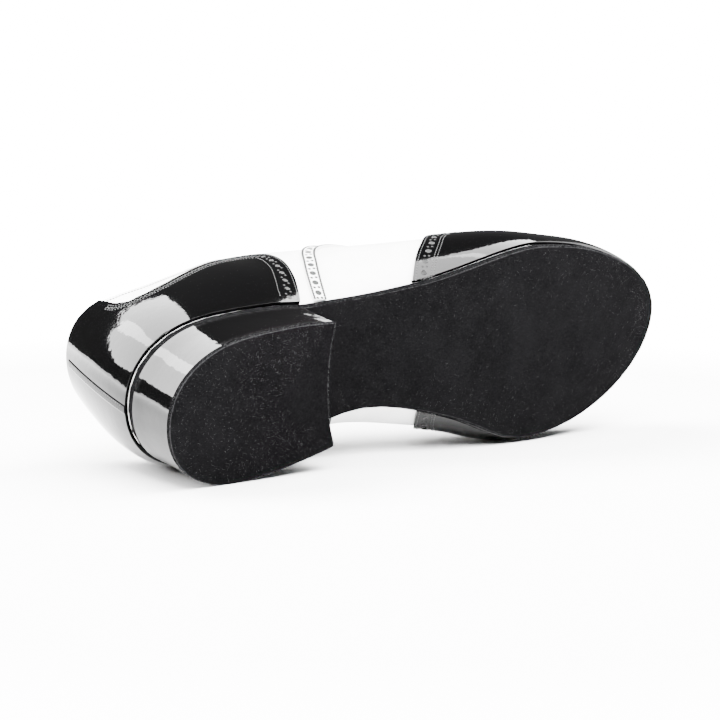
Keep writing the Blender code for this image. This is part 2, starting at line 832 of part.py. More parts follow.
def make_lace_bars(collection, material):
    for number, pair in enumerate(eyelet_places(), start=1):
        centre = core(pair[0][0])
        x = centre[0] / LENGTH
        crown = np.array([centre[0], centre[1], RIDGE_HEIGHT(x) * INSTEP_HEIGHT])
        lift = LACE_RADIUS + 0.75
        ends = []
        for q, a in pair:
            hole = skin(q, a)
            normal = skin_normal(q, a)
            nearer = float(angle_at_reach(q, facing_gap(x) + EYELET_SETBACK - 3.2))
            ends.append(
                [
                    hole - normal * 0.9,
                    hole + normal * 0.5,
                    skin(q, nearer) + skin_normal(q, nearer) * lift,
                ]
            )
        top = crown + skin_normal(pair[0][0], math.pi / 2) * lift
        path = ends[0] + [top] + ends[1][::-1]
        curve = bpy.data.curves.new(f"lace_bar_{number}", "CURVE")
        curve.dimensions = "3D"
        curve.bevel_depth = LACE_RADIUS * MM
        curve.bevel_resolution = 1
        curve.resolution_u = 2
        curve.use_fill_caps = True
        line = curve.splines.new("BEZIER")
        line.bezier_points.add(len(path) - 1)
        for point, place in zip(line.bezier_points, path):
            point.co = tuple(c * MM for c in place)
            point.handle_left_type = "AUTO"
            point.handle_right_type = "AUTO"
        curve.materials.append(material)
        obj = bpy.data.objects.new(f"lace_bar_{number}", curve)
        collection.objects.link(obj)


def material(name, colour, roughness):
    result = bpy.data.materials.new(name)
    result.use_nodes = True
    shader = result.node_tree.nodes["Principled BSDF"]
    shader.inputs["Base Color"].default_value = (*colour, 1.0)
    shader.inputs["Roughness"].default_value = roughness
    return result


def world_points(objects):
    """Every corner of the finished meshes, and each mesh's volume and centre, in the standing frame."""
    graph = bpy.context.evaluated_depsgraph_get()
    clouds = []
    weights = []
    for obj in objects:
        mesh = obj.evaluated_get(graph).to_mesh()
        mesh.calc_loop_triangles()
        points = np.array([tuple(v.co) for v in mesh.vertices])
        corners = points[np.array([tuple(t.vertices) for t in mesh.loop_triangles])]
        volumes = np.einsum("ij,ij->i", corners[:, 0], np.cross(corners[:, 1], corners[:, 2])) / 6
        weights.append((volumes.sum(), (corners.sum(axis=1) / 4 * volumes[:, None]).sum(axis=0)))
        clouds.append(points)
    return np.vstack(clouds), weights


def resting_matrix(objects):
    """The move that lays the shoe on its medial side, with the floor at zero and the toe towards +X."""
    points, weights = world_points(objects)
    mass = sum(weight for weight, _ in weights)
    centre = sum(moment for _, moment in weights) / mass

    def height(lean):
        down = np.array([lean[0], 1.0, lean[1]])
        return ((points - centre) @ down).max() / np.linalg.norm(down)

    best = np.array([0.1, 0.1])
    value = height(best)
    step = 0.1
    turn = 0.0
    while step > 1e-9:
        moved = False
        for k in range(16):
            angle = turn + 2 * math.pi * k / 16
            trial = best + step * np.array([math.cos(angle), math.sin(angle)])
            if height(trial) < value - 1e-13:
                best = trial
                value = height(trial)
                moved = True
                break
        if not moved:
            step *= 0.7
            turn += 0.37
    down = np.array([best[0], 1.0, best[1]])
    down /= np.linalg.norm(down)
    up = -down
    along = np.array([1.0, 0.0, 0.0])
    along -= up * (along @ up)
    along /= np.linalg.norm(along)
    side = np.cross(up, along)
    turned = points @ np.array([along, side, up]).T
    low = turned.min(axis=0)
    high = turned.max(axis=0)
    shift = -np.array([(low[0] + high[0]) / 2, (low[1] + high[1]) / 2, low[2]])
    rows = [list(axis) + [move] for axis, move in zip((along, side, up), shift)]
    return Matrix(rows + [[0, 0, 0, 1]])


def main():
    for obj in list(bpy.data.objects):
        bpy.data.objects.remove(obj)
    scene = bpy.context.scene
    shoe = bpy.data.collections.new("ballroom_shoe")
    scene.collection.children.link(shoe)
    cutters = bpy.data.collections.new("cutters")
    scene.collection.children.link(cutters)
    black = material("black_patent", (0.012, 0.012, 0.013), 0.12)
    white = material("white_leather", (0.86, 0.86, 0.85), 0.35)
    suede = material("grey_suede", (0.035, 0.034, 0.036), 0.95)
    lining = material("lining_leather", (0.55, 0.47, 0.38), 0.7)
    lace = material("white_lace", (0.8, 0.8, 0.78), 0.8)
    heel = material("heel_cover", (0.012, 0.012, 0.013), 0.15)
    pale = material("white_band", (0.86, 0.86, 0.85), 0.35)
    pad = material("tongue_leather", (0.84, 0.84, 0.83), 0.4)
    stay = material("counter_patent", (0.012, 0.012, 0.013), 0.12)
    tread = material("lift_suede", (0.04, 0.04, 0.042), 0.95)
    make_outsole(shoe, suede)
    make_heel(shoe, heel)
    make_lift(shoe, tread)
    upper = make_upper(shoe, white)
    make_insole(shoe, lining)
    make_tongue(shoe, pad)
    make_toe_cap(shoe, black)
    make_counter(shoe, stay)
    make_band("quarter_band_lateral", 1, shoe, pale)
    make_band("quarter_band_medial", -1, shoe, pale)
    cut_eyelets(upper, cutters, white)
    make_lace_bars(shoe, lace)
    bpy.context.view_layer.update()
    rest = resting_matrix(list(shoe.objects))
    for obj in list(shoe.objects) + list(cutters.objects):
        obj.matrix_world = rest
    bpy.context.view_layer.update()


if __name__ == "__main__":
    main()
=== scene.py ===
"""Looks of a right two-tone ballroom shoe that lies on its medial side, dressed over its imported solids."""

from __future__ import annotations

import json
import logging
import math
from collections.abc import Callable
from dataclasses import dataclass
from enum import Enum

import bmesh
import bpy
import numpy as np
from mathutils import Matrix, Vector

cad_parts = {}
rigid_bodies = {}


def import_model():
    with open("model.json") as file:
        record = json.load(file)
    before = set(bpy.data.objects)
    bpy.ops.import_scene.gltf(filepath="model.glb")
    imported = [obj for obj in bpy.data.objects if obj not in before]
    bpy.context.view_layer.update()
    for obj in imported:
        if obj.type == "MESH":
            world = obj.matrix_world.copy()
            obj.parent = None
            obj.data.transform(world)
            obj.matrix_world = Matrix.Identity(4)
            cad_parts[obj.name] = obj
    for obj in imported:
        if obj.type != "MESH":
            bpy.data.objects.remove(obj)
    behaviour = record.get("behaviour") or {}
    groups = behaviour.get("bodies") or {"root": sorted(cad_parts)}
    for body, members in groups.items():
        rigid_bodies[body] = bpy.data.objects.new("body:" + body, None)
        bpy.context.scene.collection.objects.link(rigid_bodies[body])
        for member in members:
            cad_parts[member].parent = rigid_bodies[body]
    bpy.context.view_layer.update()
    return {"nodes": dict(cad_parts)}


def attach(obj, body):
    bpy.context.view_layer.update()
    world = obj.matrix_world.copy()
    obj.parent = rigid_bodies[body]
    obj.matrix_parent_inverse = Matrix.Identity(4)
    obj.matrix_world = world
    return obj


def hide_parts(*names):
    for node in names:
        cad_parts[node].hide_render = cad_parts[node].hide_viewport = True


LOG = logging.getLogger("ballroom_shoe")
MM = 0.001
CROWN = math.pi / 2

Floats = np.ndarray | float
Spots = tuple[np.ndarray, np.ndarray, np.ndarray]
Shape = tuple[np.ndarray, list, list]
Socket = bpy.types.NodeSocket
Tree = bpy.types.NodeTree
Material = bpy.types.Material
Piece = bpy.types.Object

# The shoe's sizes in millimetres. Places along it are shares of its length.
LENGTH = 288.0
BALL_WIDTH = 94.0
INSTEP_HEIGHT = 104.0
HEEL_HEIGHT = 20.4
SEAT_RISE = 4.7
TOE_SPRING = 7.4
TREAD = 0.645
BREAST = 0.285
TOE_ASIDE = 0.1124
ARCH_FULLNESS = 3.71
GAP = 0.3
SOLE_THICK = 3.6
FEATHER_INSET = 0.6
LIFT_THICK = 2.0
WALL = 1.9
OVERLAY = 1.7
BAND = 1.4
BAND_WIDTH = 6.4
TONGUE_TOP_FACE = 2.8
TONGUE_THICK = 1.8
LACE_RADIUS = 1.1
EYELET_RADIUS = 1.9
EYELET_SETBACK = 5.4
HEEL_TAPER = 1.25
BREAST_HOLLOW = 3.4
BREAST_RAKE = 1.2
HEEL_CORE = 0.115
TOE_CORE = 0.935
FACING_TOP = 0.41
THROAT = 0.605
FACING_GAP_TOP = 7.0
FACING_GAP_LOW = 2.6
LACE_ROWS = (0.432, 0.468, 0.504, 0.540, 0.576)
TONGUE_TOP = 0.372
TONGUE_END = 0.64
TONGUE_HALF = 21.0

# How the standing shoe is turned to lie down: the lean of its medial axis, and the move that follows.
REST_LEAN = (-0.1641755, -0.2080944)
REST_SHIFT = (-142.640, -48.504, 23.779)

# Camera: place and target in millimetres, roll in degrees.
CAMERA_PLACE = (-434.2, -526.9, 118.4)
CAMERA_TARGET = (-36.4, -31.2, 43.6)
CAMERA_ROLL = 0.86
CAMERA_LENS = 75.0

# Edge of the sole: share along the length, then half width to the lateral and to the medial side, as
# shares of the ball width.
OUTLINE = (
    (0.0171, 0.178, 0.178),
    (0.046, 0.263, 0.263),
    (0.087, 0.318, 0.318),
    (0.140, 0.336, 0.336),
    (0.195, 0.332, 0.332),
    (0.250, 0.317, 0.317),
    (0.290, 0.298, 0.300),
    (0.330, 0.290, 0.283),
    (0.375, 0.287, 0.266),
    (0.430, 0.299, 0.283),
    (0.490, 0.325, 0.335),
    (0.550, 0.368, 0.410),
    (0.610, 0.406, 0.512),
    (0.670, 0.413, 0.581),
    (0.730, 0.384, 0.595),
    (0.790, 0.339, 0.585),
    (0.850, 0.271, 0.547),
    (0.900, 0.195, 0.493),
    (0.940, 0.121, 0.427),
    (0.970, 0.045, 0.354),
    (0.990, -0.036, 0.275),
)

# Crown: share along the length, height as a share of the instep, step to the medial side and lean of
# the walls.
RIDGE = (
    (0.00, 1.330, 0.000, -0.090),
    (0.10, 1.310, 0.000, -0.050),
    (0.20, 1.250, 0.005, -0.025),
    (0.30, 1.150, 0.020, -0.010),
    (0.40, 1.000, 0.042, 0.000),
    (0.50, 0.825, 0.068, 0.000),
    (0.60, 0.655, 0.098, 0.000),
    (0.70, 0.525, 0.118, 0.000),
    (0.80, 0.430, 0.133, 0.000),
    (0.90, 0.368, 0.138, 0.000),
    (1.00, 0.330, 0.130, 0.000),
)

# Sections: share along the length, lateral and medial squareness, swell, and how low each swell sits.
SECTION = (
    (0.00, 2.10, 2.10, 0.004, 0.004, 3.0, 3.0),
    (0.10, 2.65, 2.10, 0.030, 0.092, 2.4, 2.6),
    (0.25, 2.95, 2.30, 0.091, 0.126, 1.5, 2.6),
    (0.38, 3.05, 2.46, 0.130, 0.160, 1.4, 3.0),
    (0.50, 2.64, 2.43, 0.113, 0.137, 1.5, 3.0),
    (0.60, 2.50, 2.39, 0.064, 0.080, 1.7, 2.6),
    (0.70, 2.32, 2.37, 0.026, 0.036, 2.0, 2.0),
    (0.80, 2.41, 2.42, 0.015, 0.018, 2.0, 2.0),
    (0.90, 2.48, 2.48, 0.015, 0.016, 2.0, 2.0),
    (1.00, 2.53, 2.53, 0.015, 0.015, 2.0, 2.0),
)

# Top line: share along the length, height as a share of the rise from the sole's edge to the crown.
TOPLINE = (
    (0.00, 0.487),
    (0.03, 0.472),
    (0.055, 0.445),
    (0.08, 0.408),
    (0.11, 0.380),
    (0.15, 0.390),
    (0.20, 0.435),
    (0.26, 0.530),
    (0.32, 0.655),
    (0.38, 0.855),
    (0.41, 0.985),
    (0.43, 1.000),
)

# Rear edge of the winged cap: share of the way up, share along the length.
WING = (
    (0.00, 0.474),
    (0.07, 0.500),
    (0.16, 0.535),
    (0.25, 0.563),
    (0.32, 0.588),
    (0.45, 0.628),
    (0.62, 0.668),
    (0.78, 0.680),
    (0.90, 0.664),
    (1.00, 0.634),
)

# Front edge of the counter: share of its height, share along the length.
COUNTER_FRONT = (
    (0.00, 0.285),
    (0.13, 0.298),
    (0.27, 0.310),
    (0.42, 0.319),
    (0.56, 0.325),
    (0.75, 0.327),
    (0.88, 0.324),
    (0.95, 0.316),
    (1.00, 0.298),
)

# Top edge of the counter: share along the length, height as a share of the rise to the crown.
COUNTER_TOP = (
    (0.0000, 0.476),
    (0.0300, 0.460),
    (0.0500, 0.438),
    (0.0560, 0.424),
    (0.0600, 0.352),
    (0.0670, 0.308),
    (0.0880, 0.280),
    (0.1230, 0.291),
    (0.1630, 0.335),
    (0.2060, 0.390),
    (0.2430, 0.430),
    (0.2840, 0.470),
    (0.3300, 0.475),
)

# The counter's edge as one seam, from the collar tab round to the sole: share along the length, share
# of the rise.
COUNTER_EDGE = (
    (0.059, 0.360),
    (0.066, 0.312),
    (0.088, 0.282),
    (0.123, 0.291),
    (0.163, 0.335),
    (0.206, 0.390),
    (0.243, 0.428),
    (0.284, 0.462),
    (0.312, 0.452),
    (0.324, 0.415),
    (0.327, 0.348),
    (0.324, 0.260),
    (0.318, 0.196),
    (0.308, 0.125),
    (0.297, 0.059),
    (0.286, 0.004),
)

# How far the counter's inner seam stands from that edge, in millimetres, by the share of the way along it.
COUNTER_STRIP = (
    (0.00, 3.4),
    (0.20, 4.0),
    (0.45, 5.6),
    (0.62, 7.2),
    (0.72, 8.4),
    (1.00, 8.8),
)

# How far up the back the strip over its seam reaches, as an angle.
BACK_STRIP_TOP = 0.46

# Half the width of that strip, in millimetres.
BACK_STRIP_HALF = 1.9

# Middle of the quarter's band: share of the rise, share along the length.
BAND_LINE = (
    (0.00, 0.324),
    (0.06, 0.332),
    (0.15, 0.345),
    (0.26, 0.363),
    (0.33, 0.375),
    (0.41, 0.393),
    (0.50, 0.420),
    (0.62, 0.466),
    (0.74, 0.522),
    (0.83, 0.568),
    (0.885, 0.598),
)

# Levels of the heel's wall: share of the height, how far in, how far the breast leans back.
HEEL_LEVELS = (
    (0.00, HEEL_TAPER, 0.0),
    (0.30, 1.10, BREAST_RAKE * 0.30),
    (0.65, 0.80, BREAST_RAKE * 0.65),
    (1.00, 0.15, BREAST_RAKE),
)


class Side(Enum):
    """The two sides of the shoe."""

    LATERAL = 1
    MEDIAL = -1


def table(rows: tuple, column: int) -> Callable[[Floats], np.ndarray]:
    """Makes a smooth function through one column of a table.

    Args:
        rows: The table, with its first column rising.
        column: The column to follow.

    Returns:
        A function of the first column.
    """
    x = np.array([row[0] for row in rows])
    y = np.array([row[column] for row in rows])
    slope = np.gradient(y, x)

    def value(at: Floats) -> np.ndarray:
        """Height of the curve at a place.

        Args:
            at: Places along the first column.

        Returns:
            The curve's heights.
        """
        at = np.clip(np.asarray(at, float), x[0], x[-1])
        k = np.clip(np.searchsorted(x, at, side="right") - 1, 0, len(x) - 2)
        step = x[k + 1] - x[k]
        t = (at - x[k]) / step
        h1 = t * t * (3 - 2 * t)
        ends = y[k] * (1 - h1) + y[k + 1] * h1
        return ends + step * slope[k] * t * (1 - t) ** 2 - step * slope[k + 1] * t * t * (1 - t)

    return value


class Last:
    """The shoe's form in its standing frame, in millimetres: x to the toe, y to the medial side, z up."""

    def __init__(self) -> None:
        """Works out the sole's edge and the curves of the upper."""
        ring = self._ring()
        run = np.roll(ring, -6, axis=0) - np.roll(ring, 6, axis=0)
        normal = np.column_stack([run[:, 1], -run[:, 0]])
        normal /= np.hypot(*normal.T)[:, None]
        if (normal * (ring - ring.mean(axis=0))).sum() < 0:
            normal = -normal
        self.step = np.linspace(0, 2, len(ring) + 1)
        self.ring = np.vstack([ring, ring[:1]])
        self.normal = np.vstack([normal, normal[:1]])
        self.side_length = float(np.hypot(*np.diff(ring[:3001], axis=0).T).sum())
        self.height = table(RIDGE, 1)
        self.aside = table(RIDGE, 2)
        self.lean = table(RIDGE, 3)
        self.square = (table(SECTION, 1), table(SECTION, 2))
        self.swell = (table(SECTION, 3), table(SECTION, 4))
        self.low = (table(SECTION, 5), table(SECTION, 6))
        self.top = table(TOPLINE, 1)
        q = np.linspace(0, 1, 1501)
        self._rib_x = (self.around(q)[0][:, 0] + self.around(2 - q)[0][:, 0]) / 2

    @staticmethod
    def _ring() -> np.ndarray:
        """A closed, evenly stepped curve through the sole's edge.

        Returns:
            Plan points from the heel's back round the lateral side.
        """
        rows = [(0.0, 0.0)]
        rows += [(x * LENGTH, -lateral * BALL_WIDTH) for x, lateral, _ in OUTLINE]
        rows.append((LENGTH, TOE_ASIDE * BALL_WIDTH))
        rows += [(x * LENGTH, medial * BALL_WIDTH) for x, _, medial in reversed(OUTLINE)]
        points = np.array(rows)
        n = len(points)
        chord = np.hypot(*(np.roll(points, -1, axis=0) - points).T)
        matrix = np.zeros((n, n))
        right = np.zeros((n, 2))
        for i in range(n):
            before, after = chord[i - 1], chord[i]
            matrix[i, (i - 1) % n] = after
            matrix[i, i] = 2 * (before + after)
            matrix[i, (i + 1) % n] = before
            ahead = (points[(i + 1) % n] - points[i]) / after
            right[i] = 3 * (before * ahead + after * (points[i] - points[i - 1]) / before)
        tangent = np.linalg.solve(matrix, right)
        t = np.linspace(0, 1, 80, endpoint=False)[:, None]
        h1 = t * t * (3 - 2 * t)
        pieces = []
        for i in range(n):
            j = (i + 1) % n
            start = tangent[i] * chord[i] * t * (1 - t) ** 2
            end = tangent[j] * chord[i] * t * t * (1 - t)
            pieces.append(points[i] * (1 - h1) + points[j] * h1 + start - end)
        curve = np.vstack(pieces)
        toe = (len(OUTLINE) + 1) * 80
        sides = []
        for part in (curve[: toe + 1], np.vstack([curve[toe:], curve[:1]])[::-1]):
            length = np.concatenate([[0], np.cumsum(np.hypot(*np.diff(part, axis=0).T))])
            even = np.linspace(0, length[-1], 3001)
            sides.append(np.column_stack([np.interp(even, length, part[:, k]) for k in (0, 1)]))
        return np.vstack([sides[0], sides[1][-2:0:-1]])

    def around(self, q: Floats, inset: Floats = 0.0) -> tuple[np.ndarray, np.ndarray]:
        """Plan point of the sole's edge and its outward normal; q is 0 to 1 lateral, 2 to 1 medial.

        Args:
            q: Place round the sole's edge.
            inset: How far in from the edge, in millimetres.

        Returns:
            Plan points and outward normals.
        """
        q = np.mod(q, 2)
        point = np.stack([np.interp(q, self.step, self.ring[:, k]) for k in (0, 1)], axis=-1)
        normal = np.stack([np.interp(q, self.step, self.normal[:, k]) for k in (0, 1)], axis=-1)
        normal /= np.linalg.norm(normal, axis=-1)[..., None]
        return point - normal * np.asarray(inset)[..., None], normal

    @staticmethod
    def sole(x: Floats) -> np.ndarray:
        """Height of the sole's underside.

        Args:
            x: Places along the shoe, in millimetres.

        Returns:
            Heights in millimetres.
        """
        x = np.asarray(x, float)
        tread, breast = TREAD * LENGTH, BREAST * LENGTH
        q = np.clip((tread - x) / (tread - breast), 0, 1)
        waist = HEEL_HEIGHT * (ARCH_FULLNESS * q**2 + (1 - ARCH_FULLNESS) * q**3)
        seat = HEEL_HEIGHT + SEAT_RISE * (breast - x) / breast
        toe = TOE_SPRING * np.clip((x - tread) / (LENGTH - tread), 0, None) ** 2
        return np.where(x < breast, seat, waist + toe)

    def feather(self, x: Floats) -> np.ndarray:
        """Height of the upper's lower edge."""
        return self.sole(x) + SOLE_THICK + GAP

    @staticmethod
    def own(q: Floats) -> np.ndarray:
        """Share of the way from heel to toe on the rib's own side."""
        turn = np.mod(q, 2)
        return np.minimum(turn, 2 - turn)

    def core(self, q: Floats) -> np.ndarray:
        """The point of the crown, in plan, that the rib at q runs to.

        Args:
            q: Place round the sole's edge.

        Returns:
            Plan points in millimetres.
        """
        own = self.own(q)
        x = (self.around(own)[0][..., 0] + self.around(2 - own)[0][..., 0]) / 2
        x = np.clip(x, HEEL_CORE * LENGTH, TOE_CORE * LENGTH)
        return np.stack([x, self.aside(x / LENGTH) * BALL_WIDTH], axis=-1)

    @staticmethod
    def side(q: Floats) -> np.ndarray:
        """From -1 on the lateral side to 1 on the medial, blended round heel and toe.

        Args:
            q: Place round the sole's edge.

        Returns:
            The blend of the two sides.
        """
        turn = np.mod(q, 2)
        near = np.clip(np.minimum(turn, 2 - turn) / 0.08, 0, 1) * np.clip(np.abs(turn - 1) / 0.05, 0, 1)
        return np.where(turn < 1, -1.0, 1.0) * near * near * (3 - 2 * near)

    def _both(self, pair: tuple, along: Floats, side: Floats) -> np.ndarray:
        """A curve blended between its lateral and its medial form."""
        return pair[0](along) * (1 - side) / 2 + pair[1](along) * (1 + side) / 2

    def skin(self, q: Floats, a: Floats) -> np.ndarray:
        """The outside of the upper; a runs from 0 at the sole to a right angle at the crown.

        Args:
            q: Place round the sole's edge.
            a: Angle up the wall.

        Returns:
            Points in millimetres.
        """
        q, a = np.broadcast_arrays(np.asarray(q, float), np.asarray(a, float))
        foot, normal = self.around(q, FEATHER_INSET * np.ones_like(q))
        top = self.core(q)
        along = foot[..., 0] / LENGTH
        side = self.side(q)
        rise = np.sin(a)
        low = self._both(self.low, along, side)
        peak = (1 / (1 + low)) * (low / (1 + low)) ** low
        bulge = np.clip(1 - rise, 0, 1) ** low
        out = self._both(self.swell, along, side) * BALL_WIDTH * rise * bulge / peak
        reach = np.clip(np.cos(a), 0, 1) ** (2 / self._both(self.square, along, side))
        plan = top + (foot - top) * reach[..., None] + normal * out[..., None]
        x = plan[..., 0]
        plan[..., 1] += self.lean(x / LENGTH) * BALL_WIDTH * rise
        base = self.feather(x)
        crown = self.height(x / LENGTH) * INSTEP_HEIGHT
        return np.concatenate([plan, (base + (crown - base) * rise)[..., None]], axis=-1)

    def facing(self, q: Floats, a: Floats) -> np.ndarray:
        """Outward unit normal of the skin.

        Args:
            q: Place round the sole's edge.
            a: Angle up the wall.

        Returns:
            Unit normals.
        """
        q, a = np.broadcast_arrays(np.asarray(q, float), np.asarray(a, float))
        at = np.clip(a, 0.004, CROWN - 0.03)
        along = self.skin(q + 0.004, at) - self.skin(q - 0.004, at)
        up = self.skin(q, at + 0.004) - self.skin(q, at - 0.004)
        normal = np.cross(along, up)
        normal /= np.linalg.norm(normal, axis=-1)[..., None]
        point = self.skin(q, at)
        middle = np.stack([np.clip(point[..., 0], 40, LENGTH - 30), 0 * at, 0 * at + 20], axis=-1)
        normal = normal * np.sign(((point - middle) * normal).sum(axis=-1))[..., None]
        x = self.core(q)[..., 0]
        slope = (self.height((x + 1) / LENGTH) - self.height((x - 1) / LENGTH)) * INSTEP_HEIGHT / 2
        crown = np.stack([-slope, 0 * slope, 0 * slope + 1], axis=-1)
        crown /= np.linalg.norm(crown, axis=-1)[..., None]
        share = np.clip((a - (CROWN - 0.03)) / 0.03, 0, 1)[..., None]
        normal = normal * (1 - share) + crown * share
        return normal / np.linalg.norm(normal, axis=-1)[..., None]

    def shell(self, q: Floats, a: Floats, out: Floats) -> np.ndarray:
        """Points of the skin moved out along its normal, with the lowest row level with the sole's edge.

        Args:
            q: Place round the sole's edge.
            a: Angle up the wall.
            out: How far out, in millimetres.

        Returns:
            Points in millimetres.
        """
        q, a = np.broadcast_arrays(np.asarray(q, float), np.asarray(a, float))
        point = self.skin(q, a) + self.facing(q, a) * np.asarray(out)[..., None]
        point[..., 2] = np.where(a < 1e-6, self.feather(point[..., 0]), point[..., 2])
        return point

    def share(self, x: Floats) -> np.ndarray:
        """Share of the way round one side at which the sole's edge reaches a share of the length."""
        return np.interp(np.asarray(x) * LENGTH, self._rib_x, np.linspace(0, 1, 1501))

    def rib_share(self, q: Floats) -> np.ndarray:
        """Share of the length at the foot of a rib."""
        return np.interp(self.own(q), np.linspace(0, 1, 1501), self._rib_x) / LENGTH

    def angle_at(self, q: Floats, distance: Floats) -> np.ndarray:
        """The angle at which the rib at q is this far from the crown, in plan.

        Args:
            q: Place round the sole's edge.
            distance: Distance from the crown, in millimetres.

        Returns:
            Angles up the wall.
        """
        foot, _ = self.around(q, FEATHER_INSET * np.ones_like(np.asarray(q, float)))
        width = np.linalg.norm(foot - self.core(q), axis=-1)
        square = self._both(self.square, foot[..., 0] / LENGTH, self.side(q))
        return np.arccos(np.clip(distance / width, 0, 1) ** (square / 2))

    @staticmethod
    def facing_gap(x: Floats) -> np.ndarray:
        """Half the gap between the facings at a share of the length."""
        t = np.clip((np.asarray(x) - FACING_TOP) / (THROAT - FACING_TOP), 0, 1)
        return FACING_GAP_TOP + (FACING_GAP_LOW - FACING_GAP_TOP) * t

    def top_angle(self, q: Floats) -> np.ndarray:
        """The angle at which the upper ends on the rib at q.

        Args:
            q: Place round the sole's edge.

        Returns:
            Angles up the wall.
        """
        x = self.rib_share(q)
        a = np.arcsin(np.clip(self.top(x), 0, 1))
        near = self.angle_at(q, self.facing_gap(np.maximum(x, FACING_TOP)))
        a = np.where(x > FACING_TOP - 0.03, np.minimum(a, near), a)
        return np.where(x >= THROAT - 1e-9, CROWN, a)

    def even_rows(self, q: float, high: float, rows: int) -> np.ndarray:
        """Angles that cut the rib at q into equal lengths up to an angle.

        Args:
            q: Place round the sole's edge.
            high: The highest angle.
            rows: How many equal lengths.

        Returns:
            The angles, from 0 to the highest.
        """
        share = 1 - (1 - np.linspace(0, 1, 160)) ** 1.6
        a = high * share
        points = self.skin(np.full_like(a, q), a)
        length = np.concatenate([[0], np.cumsum(np.linalg.norm(np.diff(points, axis=0), axis=1))])
        return np.interp(np.linspace(0, 1, rows + 1) * length[-1], length, a)


def resting() -> tuple[np.ndarray, np.ndarray]:
    """Turn and shift that lay the standing shoe on its medial side.

    Returns:
        The turn as a matrix, and the shift in millimetres.
    """
    down = np.array([REST_LEAN[0], 1.0, REST_LEAN[1]])
    down /= np.linalg.norm(down)
    up = -down
    along = np.array([1.0, 0.0, 0.0])
    along -= up * (along @ up)
    along /= np.linalg.norm(along)
    return np.array([along, np.cross(up, along), up]), np.array(REST_SHIFT)


TURN, SHIFT = resting()


def to_world(points: np.ndarray) -> np.ndarray:
    """Standing millimetres to the row frame's metres."""
    return (np.asarray(points, float) @ TURN.T + SHIFT) * MM


@dataclass(frozen=True)
class Crease:
    """A soft trough on one wall: middle and slant in the shoe's own sizes, depth outward when negative."""

    x: float
    rise: float
    slant: float
    length: float
    width: float
    depth: float
    side: int = 0

    def push(self, x: np.ndarray, rise: np.ndarray, side: np.ndarray) -> np.ndarray:
        """Outward move, in millimetres, at points given by their place on the wall.

        Args:
            x: Share along the length.
            rise: Share of the way up.
            side: Which side, negative or positive.

        Returns:
            How far out each point moves.
        """
        dx = (x - self.x) * LENGTH
        dz = (rise - self.rise) * 80.0
        turn = math.radians(self.slant)
        along = dx * math.sin(turn) + dz * math.cos(turn)
        across = dx * math.cos(turn) - dz * math.sin(turn)
        across = across + 0.9 * np.sin(along / 5.0)
        ridge = (across - 1.9 * self.width) / self.width
        form = np.exp(-((across / self.width) ** 2)) - 0.55 * np.exp(-(ridge**2))
        fade = np.exp(-((along / self.length) ** 2) * 2.2)
        own = 1.0 if self.side == 0 else (np.sign(side) == self.side)
        return -self.depth * form * fade * own


# Main creases: where the forepart flexes, along the waist, and at the ankle.
CREASES = (
    Crease(0.640, 0.93, -12.0, 22.0, 2.6, 0.32),
    Crease(0.672, 0.90, 8.0, 20.0, 2.2, 0.26),
    Crease(0.420, 0.30, 26.0, 16.0, 4.0, 0.22, 1),
    Crease(0.455, 0.20, 34.0, 12.0, 3.2, 0.20, 1),
    Crease(0.395, 0.12, -20.0, 9.0, 2.4, 0.18, 1),
    Crease(0.420, 0.32, -24.0, 16.0, 4.0, 0.24, -1),
    Crease(0.345, 0.62, 40.0, 12.0, 3.2, 0.24, -1),
    Crease(0.335, 0.58, 44.0, 13.0, 3.4, 0.24, 1),
)


def relief(last: Last, q: np.ndarray, a: np.ndarray) -> np.ndarray:
    """All creases together, outward in millimetres.

    Args:
        last: The form.
        q: Place round the sole's edge.
        a: Angle up the wall.

    Returns:
        How far out each point moves.
    """
    x = last.rib_share(q)
    rise = np.sin(a)
    side = -last.side(q)
    return sum(crease.push(x, rise, side) for crease in CREASES)


